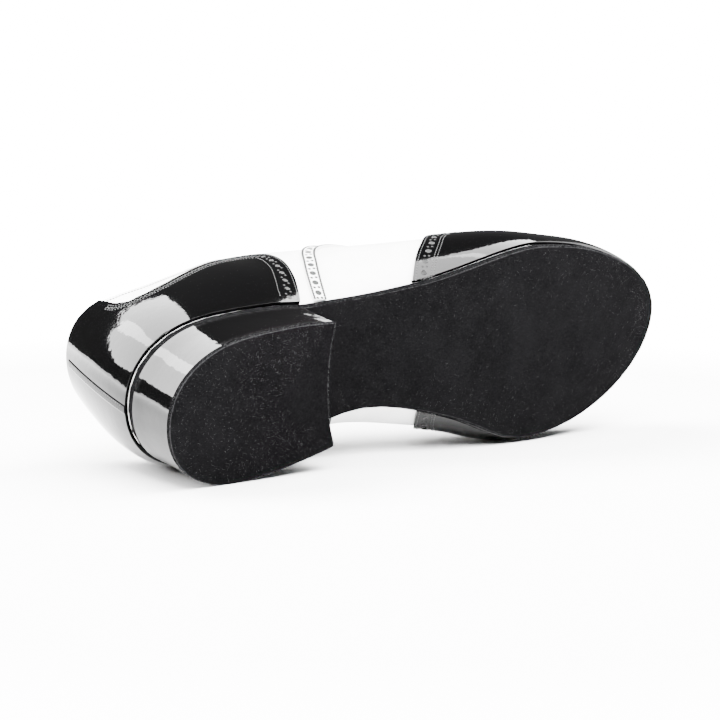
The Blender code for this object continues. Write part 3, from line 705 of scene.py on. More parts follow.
class Net:
    """Short calls that make and link shader nodes."""

    def __init__(self, tree: Tree) -> None:
        """Holds the tree that nodes are added to."""
        self.tree = tree

    def feed(self, socket: Socket, value: object) -> None:
        """Links a socket or sets its value.

        Args:
            socket: The input.
            value: A socket to link, or a value to set.
        """
        if isinstance(value, Socket):
            self.tree.links.new(value, socket)
        else:
            socket.default_value = value

    def add(self, kind: str, inputs: dict | None = None, **settings: object) -> bpy.types.Node:
        """Adds a node with its settings and inputs.

        Args:
            kind: Blender's name for the node.
            inputs: Values or sockets for its inputs.
            settings: Properties to set on it.

        Returns:
            The node.
        """
        node = self.tree.nodes.new(kind)
        for name, value in settings.items():
            setattr(node, name, value)
        for name, value in (inputs or {}).items():
            self.feed(node.inputs[name], value)
        return node

    def math(self, operation: str, one: Socket | float, two: Socket | float = 0.0) -> Socket:
        """A sum, product or other step of arithmetic."""
        return self.add("ShaderNodeMath", {0: one, 1: two}, operation=operation).outputs[0]

    def spread(
        self, value: Socket, low: float, high: float, new_low: float = 0.0, new_high: float = 1.0
    ) -> Socket:
        """Maps a range to another, held at its ends."""
        node = self.add("ShaderNodeMapRange", {0: value, 1: low, 2: high, 3: new_low, 4: new_high})
        return node.outputs[0]

    def tint(self, factor: Socket | float, one: Socket | tuple, two: Socket | tuple) -> Socket:
        """A colour between two others."""
        node = self.add("ShaderNodeMix", {0: factor, 6: one, 7: two}, data_type="RGBA")
        return node.outputs[2]

    def place(self) -> Socket:
        """The object's own coordinates, in metres."""
        return self.add("ShaderNodeTexCoord").outputs["Object"]

    def noise(
        self, scale: float, detail: float = 3.0, rough: float = 0.5, where: Socket | None = None
    ) -> Socket:
        """Fractal noise of a scale per metre."""
        inputs = {"Scale": scale, "Detail": detail, "Roughness": rough, "Vector": where or self.place()}
        return self.add("ShaderNodeTexNoise", inputs).outputs["Fac"]

    def group(self, tree: Tree, inputs: dict | None = None) -> bpy.types.Node:
        """Adds a shared effect.

        Args:
            tree: The effect.
            inputs: Values or sockets for its inputs.

        Returns:
            The group's node.
        """
        node = self.tree.nodes.new("ShaderNodeGroup")
        node.node_tree = tree
        for name, value in (inputs or {}).items():
            self.feed(node.inputs[name], value)
        return node


def shared(name: str, inputs: tuple, outputs: tuple) -> tuple[Tree, Net, bpy.types.Node, bpy.types.Node]:
    """An empty shared effect with float inputs and float outputs.

    Args:
        name: The effect's name.
        inputs: Label and starting value of each input.
        outputs: Label of each output.

    Returns:
        The tree, a net over it, and its input and output nodes.
    """
    tree = bpy.data.node_groups.new(name, "ShaderNodeTree")
    for label, value in inputs:
        socket = tree.interface.new_socket(name=label, in_out="INPUT", socket_type="NodeSocketFloat")
        socket.default_value = value
    for label in outputs:
        tree.interface.new_socket(name=label, in_out="OUTPUT", socket_type="NodeSocketFloat")
    net = Net(tree)
    return tree, net, net.add("NodeGroupInput"), net.add("NodeGroupOutput")


class Effects:
    """The shader effects that several finishes share."""

    def __init__(self) -> None:
        """Builds each effect once."""
        self.grain = self._grain()
        self.ripple = self._ripple()
        self.nap = self._nap()
        self.dust = self._dust()
        self.wear = self._wear()
        self.weave = self._weave()

    @staticmethod
    def _grain() -> Tree:
        """Fine cells and pores of leather, and a broad blotch.

        Returns:
            The effect.
        """
        tree, net, start, end = shared(
            "leather_grain", (("Cells", 900.0), ("Pores", 2600.0)), ("Height", "Blotch")
        )
        place = net.place()
        cells = net.add(
            "ShaderNodeTexVoronoi", {"Vector": place, "Scale": start.outputs["Cells"]}, feature="SMOOTH_F1"
        )
        pores = net.add(
            "ShaderNodeTexNoise", {"Vector": place, "Scale": start.outputs["Pores"], "Detail": 4.0}
        )
        height = net.math("ADD", cells.outputs["Distance"], net.math("MULTIPLY", pores.outputs["Fac"], 0.5))
        net.feed(end.inputs["Height"], height)
        net.feed(end.inputs["Blotch"], net.noise(55.0, 4.0, 0.6, place))
        return tree

    @staticmethod
    def _ripple() -> Tree:
        """The slow waviness of a glossy coat.

        Returns:
            The effect.
        """
        tree, net, start, end = shared("gloss_ripple", (("Broad", 70.0), ("Sharp", 420.0)), ("Height",))
        place = net.place()
        broad = net.add(
            "ShaderNodeTexNoise", {"Vector": place, "Scale": start.outputs["Broad"], "Detail": 2.0}
        )
        sharp = net.add(
            "ShaderNodeTexNoise", {"Vector": place, "Scale": start.outputs["Sharp"], "Detail": 2.0}
        )
        both = net.math("ADD", broad.outputs["Fac"], net.math("MULTIPLY", sharp.outputs["Fac"], 0.2))
        net.feed(end.inputs["Height"], both)
        return tree

    @staticmethod
    def _nap() -> Tree:
        """Brushed fibres of suede, with light tips and worn patches.

        Returns:
            The effect.
        """
        tree, net, start, end = shared(
            "suede_nap", (("Fibre", 2400.0), ("Brush", 160.0)), ("Height", "Light", "Worn")
        )
        place = net.place()
        warp = net.add(
            "ShaderNodeMapping", {"Vector": place, "Scale": (0.55, 1.0, 1.0), "Rotation": (0.0, 0.4, 0.3)}
        )
        fibre = net.add(
            "ShaderNodeTexNoise",
            {"Vector": warp.outputs[0], "Scale": start.outputs["Fibre"], "Detail": 5.0, "Roughness": 0.75},
        )
        speck = net.add(
            "ShaderNodeTexVoronoi", {"Vector": warp.outputs[0], "Scale": start.outputs["Fibre"]}
        )
        brush = net.add(
            "ShaderNodeTexNoise", {
                "Vector": place, "Scale": start.outputs["Brush"], "Detail": 4.0, "Roughness": 0.6
            }
        )
        bright = net.spread(speck.outputs["Distance"], 0.55, 0.95)
        light = net.math(
            "ADD", net.spread(fibre.outputs["Fac"], 0.35, 0.75), net.math("MULTIPLY", bright, 0.6)
        )
        net.feed(end.inputs["Height"], fibre.outputs["Fac"])
        net.feed(
            end.inputs["Light"],
            net.math("MULTIPLY", light, net.spread(brush.outputs["Fac"], 0.2, 0.8, 0.55, 1.3)),
        )
        net.feed(end.inputs["Worn"], net.spread(net.noise(38.0, 3.0, 0.55, place), 0.42, 0.68))
        return tree

    @staticmethod
    def _dust() -> Tree:
        """Sparse pale specks.

        Returns:
            The effect.
        """
        tree, net, start, end = shared("fine_dust", (("Amount", 0.3),), ("Mask",))
        place = net.place()
        specks = net.add("ShaderNodeTexVoronoi", {"Vector": place, "Scale": 620.0})
        dots = net.spread(specks.outputs["Distance"], 0.13, 0.05)
        cloud = net.spread(net.noise(90.0, 5.0, 0.65, place), 0.5, 0.75)
        mask = net.math("MULTIPLY", net.math("MULTIPLY", dots, cloud), start.outputs["Amount"])
        net.feed(end.inputs["Mask"], mask)
        return tree

    @staticmethod
    def _wear() -> Tree:
        """A broken mask along raised edges.

        Returns:
            The effect.
        """
        tree, net, start, end = shared("edge_wear", (("Low", 0.52), ("High", 0.60)), ("Mask",))
        point = net.add("ShaderNodeNewGeometry").outputs["Pointiness"]
        node = net.add("ShaderNodeMapRange", {0: point, 1: start.outputs["Low"], 2: start.outputs["High"]})
        broken = net.spread(net.noise(700.0, 3.0), 0.35, 0.65)
        net.feed(end.inputs["Mask"], net.math("MULTIPLY", node.outputs[0], broken))
        return tree

    @staticmethod
    def _weave() -> Tree:
        """Crossed ribs of a braid or twisted thread, with a mask of the hollows between them for painted
        shade.

        Returns:
            The effect.
        """
        tree, net, start, end = shared("braid", (("Scale", 900.0),), ("Height", "Groove"))
        place = net.place()
        waves = []
        for turn in (0.8, -0.8):
            mapping = net.add("ShaderNodeMapping", {"Vector": place, "Rotation": (turn, turn, 0.0)})
            wave = net.add(
                "ShaderNodeTexWave", {"Vector": mapping.outputs[0], "Scale": start.outputs["Scale"]}
            )
            waves.append(wave.outputs["Fac"])
        height = net.math("MAXIMUM", *waves)
        net.feed(end.inputs["Height"], height)
        # The hollows between the ribs, where the thread is painted darker as shade.
        net.feed(end.inputs["Groove"], net.spread(height, 0.7, 0.2))
        return tree


def principled(name: str) -> tuple[Material, Net, bpy.types.Node]:
    """A new material with its shader and a net over its nodes.

    Args:
        name: The material's name.

    Returns:
        The material, a net over it and its shader.
    """
    material = bpy.data.materials.new(name)
    material.use_nodes = True
    return material, Net(material.node_tree), material.node_tree.nodes["Principled BSDF"]


def bump(
    net: Net, height: Socket, distance: float, strength: float = 1.0, normal: Socket | None = None
) -> Socket:
    """A bump of a height range given in metres.

    Args:
        net: The material's net.
        height: The height, from 0 to 1.
        distance: The depth of that range, in metres.
        strength: How much of it shows.
        normal: A normal to add it to.

    Returns:
        The new normal.
    """
    inputs = {"Height": height, "Distance": distance, "Strength": strength}
    if normal is not None:
        inputs["Normal"] = normal
    return net.add("ShaderNodeBump", inputs).outputs["Normal"]


@dataclass(frozen=True)
class Patent:
    """Black patent leather: a dark base with a mirror-like, slightly rippled gloss."""

    name: str = "black_patent"
    colour: tuple = (0.0007, 0.0007, 0.00075, 1.0)
    scuff: tuple = (0.010, 0.010, 0.0104, 1.0)
    ripple: float = 0.00016
    dust: float = 0.5
    gloss: float = 0.36

    def build(self, effects: Effects) -> Material:
        """Makes the material.

        Args:
            effects: The shared effects.

        Returns:
            The material.
        """
        material, net, shader = principled(self.name)
        dust = net.group(effects.dust, {"Amount": self.dust}).outputs["Mask"]
        wear = net.group(effects.wear, {"Low": 0.56, "High": 0.68}).outputs["Mask"]
        ripple = net.group(effects.ripple).outputs["Height"]
        grain = net.group(effects.grain, {"Cells": 1500.0, "Pores": 3600.0})
        mask = net.math("MAXIMUM", dust, net.math("MULTIPLY", wear, 0.5))
        net.feed(shader.inputs["Base Color"], net.tint(mask, self.colour, self.scuff))
        net.feed(shader.inputs["Roughness"], net.spread(grain.outputs["Blotch"], 0.3, 0.7, 0.025, 0.05))
        shader.inputs["Specular IOR Level"].default_value = self.gloss / 2
        shader.inputs["Coat Weight"].default_value = 0.03
        shader.inputs["Coat Roughness"].default_value = 0.12
        broad = bump(net, ripple, self.ripple)
        net.feed(shader.inputs["Normal"], bump(net, grain.outputs["Height"], 0.000004, 0.4, broad))
        return material


@dataclass(frozen=True)
class SmoothLeather:
    """Smooth dyed leather with fine grain."""

    name: str = "white_leather"
    colour: tuple = (0.80, 0.80, 0.795, 1.0)
    shade: tuple = (0.70, 0.70, 0.69, 1.0)
    soil: tuple = (0.50, 0.49, 0.47, 1.0)
    roughness: tuple = (0.34, 0.46)
    height: float = 0.00003

    def build(self, effects: Effects) -> Material:
        """Makes the material.

        Args:
            effects: The shared effects.

        Returns:
            The material.
        """
        material, net, shader = principled(self.name)
        grain = net.group(effects.grain, {"Cells": 1250.0, "Pores": 3000.0})
        dust = net.group(effects.dust, {"Amount": 0.35}).outputs["Mask"]
        wear = net.group(effects.wear, {"Low": 0.57, "High": 0.66}).outputs["Mask"]
        blotch = net.spread(grain.outputs["Blotch"], 0.35, 0.7)
        base = net.tint(blotch, self.colour, self.shade)
        mask = net.math("MAXIMUM", dust, net.math("MULTIPLY", wear, 0.35))
        net.feed(shader.inputs["Base Color"], net.tint(mask, base, self.soil))
        net.feed(shader.inputs["Roughness"], net.spread(grain.outputs["Blotch"], 0.3, 0.7, *self.roughness))
        shader.inputs["Coat Weight"].default_value = 0.15
        shader.inputs["Coat Roughness"].default_value = 0.3
        wrinkle = bump(net, net.noise(240.0, 3.0, 0.55), 0.0002, 0.5)
        net.feed(shader.inputs["Normal"], bump(net, grain.outputs["Height"], self.height, 0.6, wrinkle))
        return material


@dataclass(frozen=True)
class Suede:
    """Brushed suede: dark nap with lighter fibres and rubbed patches."""

    name: str = "grey_suede"
    dark: tuple = (0.0009, 0.0009, 0.0010, 1.0)
    light: tuple = (0.0052, 0.0052, 0.0055, 1.0)
    rubbed: tuple = (0.0045, 0.0045, 0.0048, 1.0)
    speck: tuple = (0.022, 0.022, 0.023, 1.0)
    fuzz: float = 0.003

    def build(self, effects: Effects) -> Material:
        """Makes the material.

        Args:
            effects: The shared effects.

        Returns:
            The material.
        """
        material, net, shader = principled(self.name)
        nap = net.group(effects.nap)
        dust = net.group(effects.dust, {"Amount": 0.8}).outputs["Mask"]
        base = net.tint(nap.outputs["Light"], self.dark, self.light)
        base = net.tint(net.math("MULTIPLY", nap.outputs["Worn"], 0.35), base, self.rubbed)
        mask = net.math("MULTIPLY", dust, 0.5)
        net.feed(shader.inputs["Base Color"], net.tint(mask, base, self.speck))
        shader.inputs["Roughness"].default_value = 0.95
        shader.inputs["Specular IOR Level"].default_value = 0.0
        shader.inputs["Sheen Weight"].default_value = self.fuzz
        shader.inputs["Sheen Roughness"].default_value = 0.6
        shader.inputs["Sheen Tint"].default_value = (0.25, 0.25, 0.26, 1.0)
        broad = bump(net, net.noise(260.0, 4.0, 0.6), 0.0003, 0.6)
        net.feed(shader.inputs["Normal"], bump(net, nap.outputs["Height"], 0.0003, 0.9, broad))
        return material


@dataclass(frozen=True)
class Thread:
    """Waxed sewing thread or a woven lace, with painted shade in the hollows of its weave."""

    name: str = "thread"
    colour: tuple = (0.05, 0.05, 0.052, 1.0)
    groove: tuple = (0.002, 0.002, 0.002, 1.0)
    roughness: float = 0.45
    scale: float = 2600.0
    depth: float = 0.00008

    def build(self, effects: Effects) -> Material:
        """Makes the material.

        Args:
            effects: The shared effects.

        Returns:
            The material.
        """
        material, net, shader = principled(self.name)
        weave = net.group(effects.weave, {"Scale": self.scale})
        # Painted shade: the hollows of the weave take the darker colour.
        shade = net.tint(weave.outputs["Groove"], self.colour, self.groove)
        net.feed(shader.inputs["Base Color"], shade)
        shader.inputs["Roughness"].default_value = self.roughness
        net.feed(shader.inputs["Normal"], bump(net, weave.outputs["Height"], self.depth, 0.8))
        return material


@dataclass(frozen=True)
class Punch:
    """The shadow inside a punched hole."""

    name: str = "hole_shadow"

    def build(self, effects: Effects) -> Material:
        """Makes the material.

        Args:
            effects: The shared effects; not used.

        Returns:
            The material.
        """
        material, net, shader = principled(self.name)
        noise = net.noise(1800.0, 3.0)
        net.feed(
            shader.inputs["Base Color"],
            net.tint(noise, (0.001, 0.001, 0.001, 1.0), (0.005, 0.005, 0.005, 1.0)),
        )
        shader.inputs["Roughness"].default_value = 0.85
        net.feed(shader.inputs["Normal"], bump(net, noise, 0.0002, 0.6))
        return material


def make_mesh(
    name: str,
    points: np.ndarray,
    faces: list,
    materials: list,
    indices: list | None = None,
    sharp: float = 40.0,
    weld: float = 0.0,
    outward: bool = True,
) -> Piece:
    """A smooth mesh object from points in the standing frame.

    Args:
        name: The piece's name.
        points: Corners, in standing millimetres.
        faces: Corner numbers of each face.
        materials: Materials of the slots.
        indices: Slot of each face, if there are several.
        sharp: Edges steeper than this many degrees stay sharp.
        weld: Corners nearer than this many millimetres are joined.
        outward: Whether the faces are turned to face out.

    Returns:
        The object, linked and riding on the shoe.
    """
    mesh = bpy.data.meshes.new(name)
    mesh.from_pydata(to_world(points).tolist(), [], [list(face) for face in faces])
    for material in materials:
        mesh.materials.append(material)
    if indices is not None:
        mesh.polygons.foreach_set("material_index", np.asarray(indices, np.int32))
    work = bmesh.new()
    work.from_mesh(mesh)
    if weld:
        bmesh.ops.remove_doubles(work, verts=work.verts, dist=weld * MM)
    if outward:
        bmesh.ops.recalc_face_normals(work, faces=work.faces)
    for face in work.faces:
        face.smooth = True
    work.to_mesh(mesh)
    work.free()
    mesh.set_sharp_from_angle(angle=math.radians(sharp))
    obj = bpy.data.objects.new(name, mesh)
    bpy.context.scene.collection.objects.link(obj)
    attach(obj, "root")
    return obj


def soften(obj: Piece, width: float, segments: int = 3) -> None:
    """Rounds the sharp edges of a piece by a width in millimetres.

    Args:
        obj: The piece.
        width: Width of the round, in millimetres.
        segments: Steps in it.
    """
    round_edges = obj.modifiers.new("rounded_edges", "BEVEL")
    round_edges.width = width * MM
    round_edges.segments = segments
    round_edges.limit_method = "ANGLE"
    round_edges.angle_limit = math.radians(50)
    round_edges.harden_normals = False


def grid_faces(columns: int, rows: int, start: int = 0, closed: bool = False) -> list:
    """Quads over a grid of points stored column by column.

    Args:
        columns: Points along.
        rows: Points across.
        start: Number of the first point.
        closed: Whether the last column meets the first.

    Returns:
        The faces.
    """
    faces = []
    for i in range(columns if closed else columns - 1):
        a = start + i * rows
        b = start + (i + 1) % columns * rows
        for k in range(rows - 1):
            faces.append((a + k, b + k, b + k + 1, a + k + 1))
    return faces


def sheet(
    last: Last, q: np.ndarray, a: np.ndarray, inner: float, outer: Floats, closed: bool = False
) -> tuple:
    """Points and faces of a solid between two offsets of the skin, with its crown joined.

    Args:
        last: The form.
        q: Place round the shoe, column by column.
        a: Angle up the wall, of the same shape.
        inner: Offset of the inside, in millimetres.
        outer: Offset of the outside, one number or one for each point.
        closed: Whether the last column meets the first.

    Returns:
        Points, faces, and the number of faces on the inside.
    """
    columns, rows = q.shape
    low = last.shell(q, a, inner * np.ones_like(q)).reshape(-1, 3)
    high = last.shell(q, a, outer * np.ones_like(q)).reshape(-1, 3)
    n = len(low)
    inside = grid_faces(columns, rows, 0, closed)
    faces = inside + grid_faces(columns, rows, n, closed)
    for i in range(columns if closed else columns - 1):
        j = (i + 1) % columns
        for k in (0, rows - 1):
            if k and a[i, k] > CROWN - 1e-6 and a[j, k] > CROWN - 1e-6:
                continue
            faces.append((i * rows + k, j * rows + k, n + j * rows + k, n + i * rows + k))
    if not closed:
        for i in (0, columns - 1):
            for k in range(rows - 1):
                faces.append((i * rows + k, i * rows + k + 1, n + i * rows + k + 1, n + i * rows + k))
    return np.vstack([low, high]), faces, len(inside)


class Trail:
    """A path over the skin, such as a row of stitches."""

    def __init__(self, last: Last, q: np.ndarray, a: np.ndarray, out: float) -> None:
        """Holds the path's places.

        Args:
            last: The form.
            q: Place round the sole's edge.
            a: Angle up the wall.
            out: Height over the skin, in millimetres.
        """
        self.last = last
        self.q = q
        self.a = a
        self.out = out

    @classmethod
    def through(cls, last: Last, side: Side, rows: tuple, out: float, steps: int = 160) -> Trail:
        """A smooth path through shares of the length and of the rise, on one side.

        Args:
            last: The form.
            side: The side of the shoe.
            rows: Shares of the length and of the rise.
            out: Height over the skin, in millimetres.
            steps: Points along the path.

        Returns:
            The path.
        """
        count = np.linspace(0, len(rows) - 1, steps)
        numbered = tuple((k, *row) for k, row in enumerate(rows))
        x = table(numbered, 1)(count)
        rise = table(numbered, 2)(count)
        own = last.share(x)
        q = own if side is Side.LATERAL else 2 - own
        return cls(last, q, np.arcsin(np.clip(rise, 0, 1)), out)

    def beside(self, distance: Floats, towards: tuple[float, float]) -> Trail:
        """The path moved sideways over the skin by a distance in millimetres, towards a point (q, a).

        Args:
            distance: How far, in millimetres, one number or one for each point.
            towards: The point (q, a) on the wanted side.

        Returns:
            The moved path.
        """
        last, q, a, step = self.last, self.q, self.a, 0.002
        low = np.maximum(a - step, 0)
        high = np.minimum(a + step, CROWN)
        per_q = (last.skin(q + step, a) - last.skin(q - step, a)) / (2 * step)
        per_a = (last.skin(q, high) - last.skin(q, low)) / (high - low)[:, None]
        run = np.gradient(last.skin(q, a), axis=0)
        run /= np.linalg.norm(run, axis=1)[:, None]
        across = np.cross(last.facing(q, a), run)
        goal = last.skin(towards[0], towards[1])
        middle = last.skin(q, a)
        sign = np.sign(((goal - middle) * across).sum(axis=1).mean())
        moves = []
        for i, reach in enumerate(np.broadcast_to(distance, q.shape)):
            basis = np.column_stack([per_q[i], per_a[i]])
            moves.append(np.linalg.lstsq(basis, across[i] * reach * sign, rcond=None)[0])
        moves = np.array(moves)
        return Trail(last, q + moves[:, 0], np.clip(a + moves[:, 1], 0.0, CROWN), self.out)

    def spots(self, pitch: float, start: float = 0.5, lift: float = 0.0) -> Spots:
        """Evenly spaced points along the path, with tangents and normals.

        Args:
            pitch: Spacing in millimetres.
            start: First spot, as a share of the pitch.
            lift: Extra height in millimetres.

        Returns:
            Points, unit tangents and unit normals.
        """
        normal = self.last.facing(self.q, self.a)
        line = self.last.skin(self.q, self.a) + normal * (self.out + lift)
        length = np.concatenate([[0], np.cumsum(np.linalg.norm(np.diff(line, axis=0), axis=1))])
        at = np.arange(start * pitch, length[-1], pitch)
        point = np.column_stack([np.interp(at, length, line[:, k]) for k in range(3)])
        ahead = np.column_stack([np.interp(at + 0.4, length, line[:, k]) for k in range(3)])
        behind = np.column_stack([np.interp(at - 0.4, length, line[:, k]) for k in range(3)])
        up = np.column_stack([np.interp(at, length, normal[:, k]) for k in range(3)])
        run = ahead - behind
        run /= np.linalg.norm(run, axis=1)[:, None]
        up -= run * (up * run).sum(axis=1)[:, None]
        return point, run, up / np.linalg.norm(up, axis=1)[:, None]


class Scatter:
    """Many small copies joined in one mesh."""

    def __init__(self) -> None:
        """Starts with no copies."""
        self.points: list = []
        self.faces: list = []
        self.indices: list = []
        self.count = 0

    def put(
        self, shape: np.ndarray, faces: list, slots: list, spots: Spots, size: tuple = (1.0, 1.0, 1.0)
    ) -> None:
        """Adds a shape at every spot, with its x along the run and its z outward.

        Args:
            shape: Corners of one copy.
            faces: Corner numbers of its faces.
            slots: Material slot of each face.
            spots: Where the copies go.
            size: Scale along the run, across it and outward.
        """
        point, run, up = spots
        side = np.cross(up, run)
        base = shape * np.asarray(size)
        for centre, x, y, z in zip(point, run, side, up):
            self.points.append(centre + base @ np.array([x, y, z]))
            self.faces += [tuple(corner + self.count for corner in face) for face in faces]
            self.indices += slots
            self.count += len(base)

    def finish(self, name: str, materials: list) -> Piece:
        """Makes the piece."""
        return make_mesh(
            name, np.vstack(self.points), self.faces, materials, self.indices, outward=False, sharp=60.0
        )


def stitch_shape() -> Shape:
    """A short plump stitch that lies along x, a millimetre long and wide.

    Returns:
        Corners, faces and slots.
    """
    rings = ((-0.5, 0.1), (-0.4, 0.36), (-0.1, 0.5), (0.1, 0.5), (0.4, 0.36), (0.5, 0.1))
    sides = 6
    points = []
    for x, radius in rings:
        for k in range(sides):
            angle = 2 * math.pi * k / sides
            points.append((x, radius * math.cos(angle), radius * math.sin(angle)))
    faces = [tuple(range(sides))[::-1], tuple(range(len(points) - sides, len(points)))]
    for ring in range(len(rings) - 1):
        for k in range(sides):
            j = (k + 1) % sides
            a = ring * sides
            faces.append((a + k, a + j, a + sides + j, a + sides + k))
    return np.array(points), faces, [0] * len(faces)


def punch_shape() -> Shape:
    """A punched hole of radius one: a dark floor inside a low rolled rim.

    Returns:
        Corners, faces and slots.
    """
    profile = ((0.72, 0.03), (0.84, 0.05), (0.92, 0.14), (1.06, 0.16), (1.24, 0.02))
    sides = 14
    points = [(0.0, 0.0, 0.02)]
    for radius, height in profile:
        for k in range(sides):
            angle = 2 * math.pi * k / sides
            points.append((radius * math.cos(angle), radius * math.sin(angle), height))
    faces = []
    slots = []
    for k in range(sides):
        faces.append((0, 1 + k, 1 + (k + 1) % sides))
        slots.append(1)
    for ring in range(len(profile) - 1):
        for k in range(sides):
            j = (k + 1) % sides
            a = 1 + ring * sides
            faces.append((a + k, a + sides + k, a + sides + j, a + j))
            slots.append(1 if ring < 1 else 2)
    return np.array(points), faces, slots


def slanted(spots: Spots, angle: float) -> Spots:
    """Spots with their runs turned about the outward normal by an angle."""
    point, run, up = spots
    return point, run * math.cos(angle) + np.cross(up, run) * math.sin(angle), up


STITCH = stitch_shape()
PUNCH = punch_shape()

# Sizes of a stitch and of a hole in millimetres, and the pitch of their rows.
STITCH_SIZE = (0.86, 0.44, 0.40)
STITCH_PITCH = 1.4
PUNCH_PITCH = 6.2
SMALL_PUNCH = (0.42, 0.42, 0.6)


@dataclass
class Finishes:
    """Every material of the shoe."""

    patent: Material
    dull_patent: Material
    white: Material
    lining: Material
    suede: Material
    lift: Material
    edge: Material
    fibre: Material
    dark_thread: Material
    grey_thread: Material
    lace: Material
    shadow: Material
    eyelet: Material

    @classmethod
    def build(cls, effects: Effects) -> Finishes:
        """Makes every material.

        Args:
            effects: The shared effects.

        Returns:
            The set of finishes.
        """
        beige = SmoothLeather(
            "lining_leather", (0.56, 0.48, 0.39, 1), (0.50, 0.42, 0.33, 1), (0.3, 0.25, 0.2, 1), (0.55, 0.7)
        )
        rubbed = Suede(
            "rubbed_suede",
            dark=(0.0045, 0.0045, 0.0047, 1.0),
            light=(0.024, 0.024, 0.025, 1.0),
            rubbed=(0.013, 0.013, 0.0135, 1.0),
        )
        return cls(
            patent=Patent().build(effects),
            dull_patent=Patent("worn_patent", (0.0016, 0.0016, 0.0017, 1.0), gloss=0.16).build(effects),
            white=SmoothLeather().build(effects),
            lining=beige.build(effects),
            suede=Suede().build(effects),
            lift=Suede("lift_suede", light=(0.0046, 0.0046, 0.0049, 1.0)).build(effects),
            edge=rubbed.build(effects),
            fibre=Thread(
                "loose_fibre", (0.020, 0.020, 0.021, 1.0), (0.012, 0.012, 0.012, 1.0), 0.8
            ).build(effects),
            # Black thread coloured dark grey: its own black plus a painted sheen.
            dark_thread=Thread("black_thread_with_painted_sheen", (0.010, 0.010, 0.0105, 1.0)).build(effects),
            # Thread on white leather, near black: its own dark colour plus painted shade of the seam it
            # sinks into.
            grey_thread=Thread(
                "grey_thread", (0.0015, 0.0015, 0.0016, 1.0), (0.0005, 0.0005, 0.0005, 1.0), 0.7
            ).build(effects),
            lace=Thread(
                "white_lace", (0.80, 0.80, 0.78, 1.0), (0.45, 0.45, 0.44, 1.0), 0.8, 1100.0, 0.0002
            ).build(effects),
            shadow=Punch().build(effects),
            eyelet=Patent(
                "eyelet_enamel", (0.0016, 0.0016, 0.0017, 1.0), ripple=0.00002, dust=0.1
            ).build(effects),
        )

    def dark_border(self) -> list[Material]:
        """Thread lightened with a painted sheen, hole and rim of a punched border on patent."""
        return [self.dark_thread, self.shadow, self.eyelet]

    def white_border(self) -> list[Material]:
        """Thread with painted seam shade, hole and rim of a punched border on white leather."""
        return [self.grey_thread, self.shadow, self.white]


